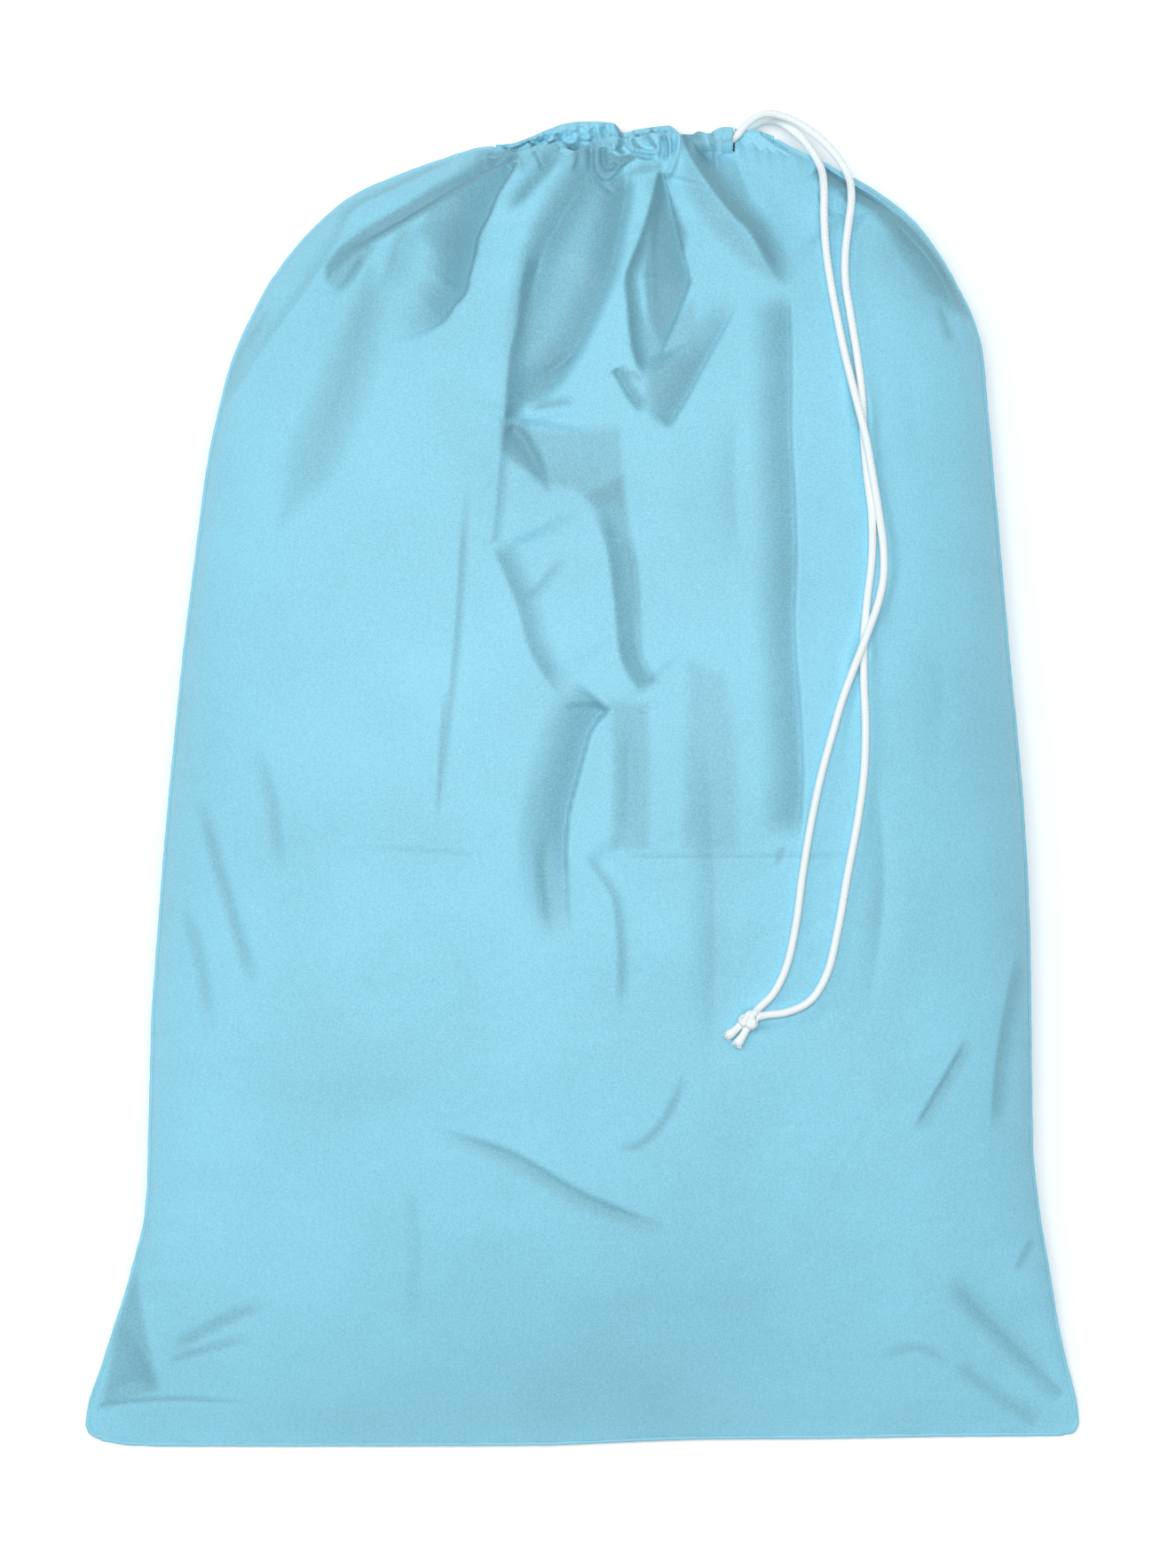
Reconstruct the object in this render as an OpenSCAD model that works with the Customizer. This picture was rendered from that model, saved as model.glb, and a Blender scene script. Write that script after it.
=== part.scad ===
// Drawstring laundry bag: two cloth panels sewn along the sides and the
// bottom, a casing round the mouth, and one braided cord whose two tails leave
// the casing at the right-hand side seam and end in a shared overhand knot.
// The bag lies flat on its back, lightly filled, with its neck drawn in.
// Millimetres. +X across the bag, +Y towards the mouth, +Z up.

/* [Bag] */
// Height of the filled bag at its fullest place
bag_height = 120; // [100:1:140]
// Height of the side seams above the resting surface at the fullest place
seam_height = 40; // [34:1:44]
// Thickness of the panels as solids
cloth_t = 1.8; // [1.4:0.1:2.2]
// Height of the flat bottom seam where the two panels meet
hem_height = 5; // [4.6:0.1:6]

/* [Seams] */
// Width of the sewn allowance inside each side seam
seam_w = 8; // [6:0.5:10]
// Thickness of the sewn allowance
seam_t = 2; // [1.6:0.1:2.4]

/* [Neck] */
// Height of the casing from its stitch line to the mouth edge
casing_w = 20; // [18:0.5:22]
// Depth of the gathered cloth on each side of the mouth
gather_d = 16; // [15:0.5:17]
// Clear height of the drawn-in mouth
mouth_h = 10; // [9:0.5:11]
// Width of the sliding bunches of the casing
bunch_w = 15; // [13:0.5:15]
// Tunnel that the drawcord runs through
tunnel_d = 7; // [6.6:0.1:8]

/* [Drawcord] */
// Diameter of the braided cord
cord_d = 5; // [4:0.1:5]
// Diameter of the overhand knot that joins the two tails
knot_d = 12.5; // [11:0.5:14]
// Length of each cut end past the knot
end_l = 13; // [10:1:15]

/* [Hidden] */

cloth = [0.56, 0.83, 0.92];
cloth_shade = [0.48, 0.75, 0.85];
cord_white = [0.93, 0.96, 0.97];
thread = [0.66, 0.88, 0.95];

// Stations along the bag: [y, left edge, right edge, side seam height as a
// share of seam_height, top as a share of bag_height]
ST = [
    [-405, -298, 300, 0.065, 0],
    [-396, -305, 305, 0.10, 0.10],
    [-380, -304, 304, 0.20, 0.22],
    [-350, -295, 298, 0.40, 0.39],
    [-315, -283, 291, 0.60, 0.54],
    [-280, -273, 285, 0.75, 0.66],
    [-240, -269, 281, 0.86, 0.76],
    [-180, -268, 279, 0.95, 0.87],
    [-100, -263, 278, 1.00, 0.95],
    [-20, -257, 274, 1.00, 1.00],
    [60, -250, 267, 1.00, 0.99],
    [130, -241, 260, 0.97, 0.95],
    [200, -231, 254, 0.92, 0.88],
    [250, -220, 250, 0.87, 0.81],
    [280, -208, 245, 0.83, 0.75],
    [305, -196, 233, 0.78, 0.68],
    [330, -178, 219, 0.72, 0.61],
    [350, -158, 203, 0.67, 0.54],
    [364, -136, 183, 0.62, 0.48],
    [373, -112, 168, 0.59, 0.43],
    [380, -78, 140, 0.57, 0.39],
    [385, -46, 94, 0.55, 0]
];
NV = len(ST) - 1;
NU = 20;

neck_y = 385;
mouth_y = neck_y + casing_w;
neck_z = gather_d + mouth_h / 2 + 1;
neck_top = 2 * gather_d + mouth_h + 1;

function seam_z(i) = i == NV ? neck_z : ST[i][3] * seam_height;
function top_z(i) = i == NV ? neck_top : i == 0 ? hem_height : ST[i][4] * bag_height;

// The same values between stations
TL = [for (i = [0:NV]) [ST[i][0], ST[i][1]]];
TR = [for (i = [0:NV]) [ST[i][0], ST[i][2]]];
TS = [for (i = [0:NV]) [ST[i][0], seam_z(i)]];
TT = [for (i = [0:NV]) [ST[i][0], top_z(i)]];

// Crown of the upper panel across the bag, and the turn-up of the lower one
function crown(s) = pow(max(0, 1 - pow(abs(s), 2.6)), 0.55);
function turn(s) = pow(max(0, (abs(s) - 0.8) / 0.2), 2);
function across(x, y) = let (l = lookup(y, TL), r = lookup(y, TR))
    (2 * x - l - r) / (r - l);
function front_z(x, y) = let (z0 = lookup(y, TS))
    z0 + (lookup(y, TT) - z0) * crown(across(x, y));

// One column of a panel per angle, closer together towards the side seams
function col(j) = sin(-90 + 180 * j / NU);
function at(l, r, s) = (l + r) / 2 + s * (r - l) / 2;

function front_outer() = [for (i = [0:NV]) for (j = [0:NU]) let (s = col(j))
    [at(ST[i][1], ST[i][2], s), ST[i][0],
        seam_z(i) + (top_z(i) - seam_z(i)) * crown(s)]];
function front_inner() = [for (i = [0:NV]) for (j = [0:NU]) let (s = col(j))
    [at(ST[i][1] + cloth_t, ST[i][2] - cloth_t, s), ST[i][0],
        seam_z(i) + (top_z(i) - cloth_t - seam_z(i)) * crown(s)]];
function back_outer() = [for (i = [0:NV]) for (j = [0:NU]) let (s = col(j))
    [at(ST[i][1], ST[i][2], s), ST[i][0], seam_z(i) * turn(s)]];
function back_inner() = [for (i = [0:NV]) for (j = [0:NU]) let (s = col(j))
    [at(ST[i][1] + cloth_t, ST[i][2] - cloth_t, s), ST[i][0],
        seam_z(i) * turn(s) + cloth_t * (1 - pow(abs(s), 10))]];

// Closed sheet between an upper and a lower grid of the same size
module sheet(upper, lower, nu, nv) {
    w = nu + 1;
    k = w * (nv + 1);
    faces = concat(
        [for (i = [0:nv - 1]) for (j = [0:nu - 1]) let (a = i * w + j)
            [a, a + w, a + w + 1]],
        [for (i = [0:nv - 1]) for (j = [0:nu - 1]) let (a = i * w + j)
            [a, a + w + 1, a + 1]],
        [for (i = [0:nv - 1]) for (j = [0:nu - 1]) let (a = k + i * w + j)
            [a, a + w + 1, a + w]],
        [for (i = [0:nv - 1]) for (j = [0:nu - 1]) let (a = k + i * w + j)
            [a, a + 1, a + w + 1]],
        [for (j = [0:nu - 1]) [k + j, j, j + 1]],
        [for (j = [0:nu - 1]) [k + j, j + 1, k + j + 1]],
        [for (j = [0:nu - 1]) let (a = nv * w + j) [k + a, a + 1, a]],
        [for (j = [0:nu - 1]) let (a = nv * w + j) [k + a, k + a + 1, a + 1]],
        [for (i = [0:nv - 1]) let (a = i * w) [k + a, k + a + w, a + w]],
        [for (i = [0:nv - 1]) let (a = i * w) [k + a, a + w, a]],
        [for (i = [0:nv - 1]) let (a = i * w + nu) [k + a, a + w, k + a + w]],
        [for (i = [0:nv - 1]) let (a = i * w + nu) [k + a, a, a + w]]);
    polyhedron(points = concat(upper, lower), faces = faces, convexity = 6);
}

// Sewn allowance that runs along one side seam inside the bag
module side_seam(side) {
    e = side < 0 ? 1 : 2;
    a = cloth_t - 0.6;
    b = cloth_t - 0.6 + seam_w;
    near = side < 0 ? a : b;
    far = side < 0 ? b : a;
    // the allowance stops short of the bottom seam and of the neck
    rows = [for (i = [2:NV - 2]) i];
    up = [for (i = rows) for (d = [near, far])
        [ST[i][e] - side * d, ST[i][0], seam_z(i) + seam_t / 2]];
    low = [for (i = rows) for (d = [near, far])
        [ST[i][e] - side * d, ST[i][0], seam_z(i) - seam_t / 2]];
    sheet(up, low, 1, len(rows) - 1);
}

// Casing, bunch by bunch, from the folded left end to the cord exit
fold_x = -23;
fold_end = -20;
turn_r = mouth_h / 2 + gather_d / 2;
tunnel_y = neck_y + casing_w / 2;
front_tz = neck_z + turn_r;
back_tz = neck_z - turn_r;
bunch_x = [-9, 17, 43];
end_x0 = 69;
end_x1 = 88;
slide_gap = 0.4;

// Outline of the casing's section: depth by height, corners rounded off
module casing_section(d0, d1, y0, y1, c) {
    polygon([[d0 + c, y0], [d1 - c, y0], [d1, y0 + c], [d1, y1 - c],
        [d1 - c, y1], [d0 + c, y1], [d0, y1 - c], [d0, y0 + c]]);
}

// A run of soft pleats along X between depths r0 and r1 from the neck's middle
module pleats(x0, x1, up, y0) {
    n = max(1, round((x1 - x0) / 5));
    p = (x1 - x0) / n;
    r0 = mouth_h / 2;
    r1 = r0 + gather_d;
    translate([0, 0, neck_z]) mirror([0, 0, up ? 0 : 1])
        difference() {
            for (k = [0:n - 1])
                translate([x0 + k * p, 0, 0])
                    rotate([90, 0, 90]) linear_extrude(height = p)
                        rotate([0, 0, 90]) mirror([0, 1, 0])
                            casing_section(r0 + (k % 2) * 0.6, r1 - (k % 2) * 1.4,
                                y0, mouth_y - (k % 2) * 1.6, 3);
            translate([x0 - 1, tunnel_y, turn_r]) rotate([0, 90, 0])
                cylinder(h = x1 - x0 + 2, d = tunnel_d, $fn = 48);
        }
}

module casing_fold() color(cloth) {
    y0 = neck_y + slide_gap;
    r0 = mouth_h / 2;
    translate([fold_x, 0, neck_z]) rotate([-90, 0, 0]) rotate([0, 0, 90])
        rotate_extrude(angle = 180, $fn = 64) difference() {
            casing_section(r0, r0 + gather_d, y0, mouth_y, 3);
            translate([turn_r, tunnel_y]) circle(d = tunnel_d, $fn = 48);
        }
    pleats(fold_x, fold_end, true, y0);
    pleats(fold_x, fold_end, false, y0);
}
module casing_bunch(k, up) color(up ? cloth : cloth_shade)
    pleats(bunch_x[k], bunch_x[k] + bunch_w, up, neck_y + slide_gap);
module casing_end(up) color(up ? cloth : cloth_shade)
    pleats(end_x0, end_x1, up, neck_y);

// Close-stitched bar across the end of the casing, where the cord leaves it
module bartack(up) color(thread)
    translate([0, 0, neck_z]) mirror([0, 0, up ? 0 : 1])
        for (k = [0:5])
            translate([end_x1 - 4.4, neck_y + 4 + 2 * k, mouth_h / 2 + gather_d - 0.5])
                cube([2.4, 1.7, 1.3]);

module front_panel() color(cloth) sheet(front_outer(), front_inner(), NU, NV);
module back_panel() color(cloth_shade) sheet(back_inner(), back_outer(), NU, NV);
module side_seam_left() color(cloth_shade) side_seam(-1);
module side_seam_right() color(cloth_shade) side_seam(1);
module bottom_seam() color(cloth_shade)
    translate([-280, -404.6, cloth_t - 0.2])
        cube([560, 9, hem_height - 2 * cloth_t + 0.4]);

// The cord inside the casing: along the front, round the fold, along the back
module drawcord_run() color(cord_white) {
    for (z = [front_tz, back_tz])
        translate([fold_x, tunnel_y, z]) rotate([0, 90, 0])
            cylinder(h = end_x1 - fold_x, d = cord_d, $fn = 48);
    translate([fold_x, tunnel_y, neck_z]) rotate([-90, 0, 0]) rotate([0, 0, 90])
        rotate_extrude(angle = 180, $fn = 64)
            translate([turn_r, 0]) circle(d = cord_d, $fn = 48);
}

// Routes of the two tails. The arch points are [x, y, z]; the others lie on
// the upper panel as [x, y, lift], where lift is the height over a bare lay.
ARCH_L = [[88, 395, back_tz], [95, 399, 8], [103, 405, 7], [112, 410, 9],
    [122, 409, 13], [132, 402, 19], [141, 392, 27]];
LAY_L = [[147, 381, 8], [149, 368, 3.6], [149, 350, 0.3], [150, 330, 0],
    [153, 308, 0], [157, 286, 0.3], [162, 262, 1], [168, 238, 3.4],
    [174, 214, 5.2], [178, 192, 4.6], [182, 168, 3], [185, 146, 0.8],
    [185, 126, 0.8], [181, 108, 2.6], [177, 97, 4.4], [174, 89, 5.4],
    [171, 81, 4.4], [167, 71, 2.6], [160, 52, 0.6], [153, 28, 0],
    [146, 2, 0], [140, -27, 0], [135, -58, 0], [131, -88, 0],
    [125, -114, 0], [117, -130, 0.4], [108, -139, 1.5]];
ARCH_R = [[88, 395, front_tz], [95, 400, 34], [102, 408, 31], [113, 414, 27],
    [128, 411, 24], [144, 401, 25], [156, 389, 29]];
LAY_R = [[164, 376, 6], [166, 361, 2.8], [164, 344, 0.5], [162, 327, 0.2],
    [162, 309, 0.2], [165, 289, 0.4], [169, 264, 0.4], [172, 240, 0],
    [173, 214, 0], [175, 190, 0], [178, 164, 0], [178, 138, 0],
    [175, 112, 0], [173, 89, 0], [173, 62, 0], [174, 34, 0],
    [173, 6, 0], [169, -24, 0], [163, -56, 0], [157, -90, 0],
    [150, -118, 0], [140, -134, 0], [126, -141, 0.4], [112, -143, 1.5]];
lay = cord_d / 2 + 0.6;
function on_bag(p) = [p[0], p[1], front_z(p[0], p[1]) + lay + p[2]];
ROUTE_L = concat(ARCH_L, [for (p = LAY_L) on_bag(p)]);
ROUTE_R = concat(ARCH_R, [for (p = LAY_R) on_bag(p)]);

// Round tube swept along a route, one ring of sides points at each of its points
module tube(route, d, sides) {
    n = len(route);
    pts = [for (i = [0:n - 1])
        let (t0 = i == 0 ? [1, 0, 0] : route[min(i + 1, n - 1)] - route[max(i - 1, 0)],
            t = t0 / norm(t0),
            u0 = cross(t, [0, 0, 1]), u = u0 / norm(u0), v = cross(u, t))
        for (k = [0:sides - 1]) let (a = 360 * k / sides)
            route[i] + d / 2 * (cos(a) * u + sin(a) * v)];
    faces = concat(
        [[for (k = [0:sides - 1]) sides - 1 - k]],
        [[for (k = [0:sides - 1]) (n - 1) * sides + k]],
        [for (i = [0:n - 2]) for (k = [0:sides - 1]) let (m = (k + 1) % sides)
            [i * sides + k, i * sides + m, (i + 1) * sides + m]],
        [for (i = [0:n - 2]) for (k = [0:sides - 1]) let (m = (k + 1) % sides)
            [i * sides + k, (i + 1) * sides + m, (i + 1) * sides + k]]);
    polyhedron(points = pts, faces = faces, convexity = 10);
}
module drawcord_tail_left() color(cord_white) tube(ROUTE_L, cord_d, 8);
module drawcord_tail_right() color(cord_white) tube(ROUTE_R, cord_d, 8);

knot_xy = [102, -146];
knot_z = front_z(knot_xy[0], knot_xy[1]) + knot_d / 2 + 0.5;
module drawcord_knot() color(cord_white)
    translate([knot_xy[0], knot_xy[1], knot_z]) sphere(d = knot_d, $fn = 48);
// The cut ends fan out a little past the knot and fray at the tip
module cord_end(heading) color(cord_white)
    translate([knot_xy[0], knot_xy[1], knot_z - 1.2]) rotate([0, 0, heading])
        rotate([0, 92, 0]) translate([0, 0, knot_d / 2 - 1.5])
            cylinder(h = end_l, d1 = cord_d, d2 = cord_d + 1.2, $fn = 32);
module drawcord_end_left() cord_end(214);
module drawcord_end_right() cord_end(246);

front_panel();
back_panel();
side_seam_left();
side_seam_right();
bottom_seam();
casing_fold();
casing_bunch(0, true);  // casing_front_a
casing_bunch(1, true);  // casing_front_b
casing_bunch(2, true);  // casing_front_c
casing_bunch(0, false);  // casing_back_a
casing_bunch(1, false);  // casing_back_b
casing_bunch(2, false);  // casing_back_c
casing_end(true);  // casing_front_end
casing_end(false);  // casing_back_end
bartack(true);  // bartack_front
bartack(false);  // bartack_back
drawcord_run();
drawcord_tail_left();
drawcord_tail_right();
drawcord_knot();
drawcord_end_left();
drawcord_end_right();
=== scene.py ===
import math

import bmesh
import bpy
import numpy as np
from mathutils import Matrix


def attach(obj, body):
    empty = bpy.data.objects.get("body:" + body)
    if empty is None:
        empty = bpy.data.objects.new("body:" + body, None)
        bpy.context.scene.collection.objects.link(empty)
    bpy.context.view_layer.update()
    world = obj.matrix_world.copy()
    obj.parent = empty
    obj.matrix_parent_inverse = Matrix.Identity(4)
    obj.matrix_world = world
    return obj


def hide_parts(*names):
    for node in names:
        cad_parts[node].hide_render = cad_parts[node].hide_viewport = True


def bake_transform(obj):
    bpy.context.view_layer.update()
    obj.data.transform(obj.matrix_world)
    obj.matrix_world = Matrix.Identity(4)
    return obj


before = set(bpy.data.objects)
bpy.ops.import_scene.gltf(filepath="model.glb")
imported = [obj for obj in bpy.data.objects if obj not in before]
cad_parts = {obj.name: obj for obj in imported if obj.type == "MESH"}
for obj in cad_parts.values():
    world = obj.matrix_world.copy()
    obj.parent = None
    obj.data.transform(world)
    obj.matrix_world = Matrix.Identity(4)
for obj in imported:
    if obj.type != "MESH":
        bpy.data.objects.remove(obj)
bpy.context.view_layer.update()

MM = 0.001

# ---------------------------------------------------------------- camera
CAM_LENS = 500.0
VIEW_H = 0.968          # metres seen along the long side, at PLANE_Z
PLANE_Z = 0.06
CAM_X, CAM_Y = 0.0033, -0.0008
CAM_D = VIEW_H * CAM_LENS / 36.0
cam_data = bpy.data.cameras.new("camera")
cam_data.lens = CAM_LENS
cam_data.sensor_width = 36.0
cam_data.clip_end = 200.0
cam_data.dof.use_dof = False
cam = bpy.data.objects.new("camera", cam_data)
cam.location = (CAM_X, CAM_Y, PLANE_Z + CAM_D)
bpy.context.scene.collection.objects.link(cam)
bpy.context.scene.camera = cam


def seen(xyz):
    """Moves points so that, from the camera, they appear where their x and y (mm) say."""
    out = np.array(xyz, float)
    k = (PLANE_Z / MM + CAM_D / MM - out[:, 2]) / (CAM_D / MM)
    out[:, 0] = CAM_X / MM + (out[:, 0] - CAM_X / MM) * k
    out[:, 1] = CAM_Y / MM + (out[:, 1] - CAM_Y / MM) * k
    return out


# ---------------------------------------------------------------- helpers
def link(obj):
    bpy.context.scene.collection.objects.link(obj)
    return obj


def make_mesh(name, verts_mm, faces, smooth=True):
    me = bpy.data.meshes.new(name)
    me.from_pydata((np.asarray(verts_mm, float) * MM).tolist(), [], faces)
    me.update()
    if smooth:
        me.polygons.foreach_set("use_smooth", [True] * len(me.polygons))
    return link(bpy.data.objects.new(name, me))


def grid_faces(rows, cols, start=0):
    i, j = np.meshgrid(np.arange(rows - 1), np.arange(cols - 1), indexing="ij")
    a = (start + i * cols + j).ravel()
    return np.stack([a, a + 1, a + cols + 1, a + cols], 1)


def smooth01(t):
    t = np.clip(t, 0, 1)
    return t * t * (3 - 2 * t)


def blur(a, sigma, axis=0):
    n = int(max(1, math.ceil(3 * sigma)))
    k = np.exp(-0.5 * (np.arange(-n, n + 1) / sigma) ** 2)
    k /= k.sum()
    p = np.pad(a, [(n, n) if ax == axis else (0, 0) for ax in range(a.ndim)], mode="edge")
    return np.apply_along_axis(lambda r: np.convolve(r, k, "valid"), axis, p)


def curve_through(pts, step):
    """Catmull-Rom (centripetal) curve through pts, resampled every step."""
    P = np.array(pts, float)
    P = np.vstack([2 * P[0] - P[1], P, 2 * P[-1] - P[-2]])
    out = []
    for i in range(1, len(P) - 2):
        p0, p1, p2, p3 = P[i - 1], P[i], P[i + 1], P[i + 2]
        t1 = max(1e-6, np.linalg.norm(p1 - p0) ** 0.5)
        t2 = t1 + max(1e-6, np.linalg.norm(p2 - p1) ** 0.5)
        t3 = t2 + max(1e-6, np.linalg.norm(p3 - p2) ** 0.5)
        t = np.linspace(t1, t2, 24, endpoint=False)[:, None]
        a1 = (t1 - t) / t1 * p0 + t / t1 * p1
        a2 = (t2 - t) / (t2 - t1) * p1 + (t - t1) / (t2 - t1) * p2
        a3 = (t3 - t) / (t3 - t2) * p2 + (t - t2) / (t3 - t2) * p3
        b1 = (t2 - t) / t2 * a1 + t / t2 * a2
        b2 = (t3 - t) / (t3 - t1) * a2 + (t - t1) / (t3 - t1) * a3
        out.append((t2 - t) / (t2 - t1) * b1 + (t - t1) / (t2 - t1) * b2)
    C = np.vstack(out + [P[-2][None]])
    d = np.r_[0, np.cumsum(np.linalg.norm(np.diff(C, axis=0), axis=1))]
    n = max(2, int(round(d[-1] / step)) + 1)
    s = np.linspace(0, d[-1], n)
    return np.stack([np.interp(s, d, C[:, k]) for k in range(C.shape[1])], 1)


class Noise:
    """Smooth seeded noise on a lattice, as a sum of a few sizes."""

    def __init__(self, seed):
        self.t = np.random.default_rng(seed).uniform(-1, 1, (64, 64))

    def __call__(self, x, y, size, angle=0.0, stretch=1.0):
        c, s = math.cos(angle), math.sin(angle)
        u = (x * c + y * s) / size / stretch + 101.3
        v = (-x * s + y * c) / size + 57.7
        iu, iv = np.floor(u).astype(int), np.floor(v).astype(int)
        fu, fv = smooth01(u - iu), smooth01(v - iv)
        g = lambda a, b: self.t[a % 64, b % 64]
        return ((g(iu, iv) * (1 - fu) + g(iu + 1, iv) * fu) * (1 - fv)
                + (g(iu, iv + 1) * (1 - fu) + g(iu + 1, iv + 1) * fu) * fv)


# ---------------------------------------------------------------- the bag's outline (mm)
SIDE = [(-405.0, -299.0, 299.5), (-401.5, -304.0, 303.5), (-397.0, -305.5, 305.0),
        (-382, -304, 304), (-361, -297, 299.5), (-339, -291, 295.5), (-317, -283.5, 292),
        (-295, -277.5, 288.5), (-273, -271.5, 284.5), (-251, -269.3, 281.5), (-229, -268.8, 279.2),
        (-185, -267.7, 278.7), (-141, -266.6, 278.1), (-98, -263.3, 277.6), (-54, -260, 276),
        (-10, -256.2, 273.2), (34, -251.8, 269.3), (78, -247.4, 265), (122, -242, 261),
        (165, -236.5, 257.3), (187, -233.7, 255.1), (209, -230, 253.5), (231, -225, 251.3),
        (253, -219.5, 249.6), (264, -215.6, 248.5), (272.5, -212.4, 247), (280.5, -208.5, 244.7),
        (289, -204, 241.4), (297, -200.3, 238), (305, -196, 233.2), (313.5, -190.4, 229.3),
        (321.5, -184.4, 224.4), (330, -177.8, 219), (338, -170.7, 213), (346, -162.5, 206.3), (355, -153, 197.3), (363, -142, 186),
        (371.5, -124, 172.5)]
# the seams' welts stand a little outside the cloth's edge
SIDE = [(_a, _b + 2.0 * min(1, max(0, (_a + 400) / 60)), _c - 2.8 * min(1, max(0, (_a + 400) / 60))) for _a, _b, _c in SIDE]
Y_NECK = 346.0
LEFT_TOP = [(-160.5, 346), (-151.7, 353.7), (-140.9, 361.5), (-123.3, 369.9), (-103.4, 377.8), (-79.6, 386.2), (-65.8, 390.6),
            (-53, 392.6)]
RIGHT_TOP = [(203.7, 346), (195.6, 352.8), (184.3, 361.1), (171.8, 369.1), (160.2, 374.7), (144.2, 383.2), (129.3, 389.3),
             (117.5, 395.8)]
# Height of the side seams and of the crown along the bag, in mm
HS = [(-405, 2.6), (-396, 4), (-380, 8), (-350, 16), (-315, 24), (-280, 30), (-240, 34.4), (-180, 38), (-100, 40),
      (60, 40), (130, 38.8), (200, 36.8), (250, 34.8), (280, 33.2), (305, 31.2), (330, 28.8), (350, 26.8),
      (364, 24.8), (373, 23.6), (385, 22), (392, 22)]
HT = [(-405, 5), (-396, 12), (-380, 26.4), (-350, 46.8), (-315, 64.8), (-280, 79.2), (-240, 91.2), (-180, 104.4),
      (-100, 114), (-20, 120), (60, 118.8), (130, 114), (200, 105.6), (250, 97.2), (280, 90), (305, 81.6),
      (330, 73.2), (350, 64.8), (364, 57.6), (373, 51.6), (380, 47), (386, 43.5), (392, 41.5)]
_y = np.arange(-406, 394.0, 1.0)


def _table(t, col, sig):
    v = np.interp(_y, [r[0] for r in t], [r[col] for r in t])
    return blur(v, sig)


_hs, _ht = _table(HS, 1, 9), _table(HT, 1, 9)
_mixb = smooth01((_y + 405) / 40)      # no smoothing right at the bottom seam
_hs = _hs * _mixb + (1 - _mixb) * np.interp(_y, *zip(*HS))
_ht = _ht * _mixb + (1 - _mixb) * np.interp(_y, *zip(*HT))
_sl, _sr = _table(SIDE, 1, 5), _table(SIDE, 2, 5)
_mixc = smooth01((_y + 396) / 20)
_sl = _sl * _mixc + (1 - _mixc) * np.interp(_y, [r[0] for r in SIDE], [r[1] for r in SIDE])
_sr = _sr * _mixc + (1 - _mixc) * np.interp(_y, [r[0] for r in SIDE], [r[2] for r in SIDE])
h_seam = lambda y: np.interp(y, _y, _hs)
h_top = lambda y: np.interp(y, _y, _ht)
crown = lambda s: np.maximum(0, 1 - np.abs(s) ** 2.6) ** 0.55

# The front's mouth edge and the outline of the whole neck
F_EDGE = [(-53, 392.2), (-46, 388), (-40, 387), (-33, 389.5), (-27, 392), (-20, 392), (-14, 391), (-5, 387.5),
          (0, 389.5), (5, 393.5), (12, 395), (17, 397), (21, 397), (25, 395.5), (31, 396), (36, 397), (44, 399.5),
          (48, 397.5), (53, 399.5), (59, 398.5), (68, 398), (71, 400.5), (76, 399), (79, 398.6), (82, 401.5),
          (87, 403), (93, 402.5), (97, 401), (103, 401), (109, 400.5), (118, 397)]
B_EDGE = [(-53, 391.6), (-43, 392.4), (-32, 396.4), (-24, 400), (-14, 404), (-6, 405.6), (0, 406), (10, 406), (20, 405),
          (24, 398.6), (29, 399.6), (32, 400.8), (38, 401.8), (45, 402.8), (54, 403.8), (57, 401.4), (60, 398), (68, 396.6),
          (71, 399), (79, 397), (86, 400), (97, 399), (111, 399.5), (118, 397)]
# The bottom edge isn't quite straight
LOW_X = [-305, -283, -262, -170, -90, -20, 25, 70, 155, 220, 300]
LOW_Y = [1.5, -2.6, -3.4, -3.4, -3.2, -2.8, -0.8, 0.9, 1.4, 2.6, 3.0]


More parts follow.
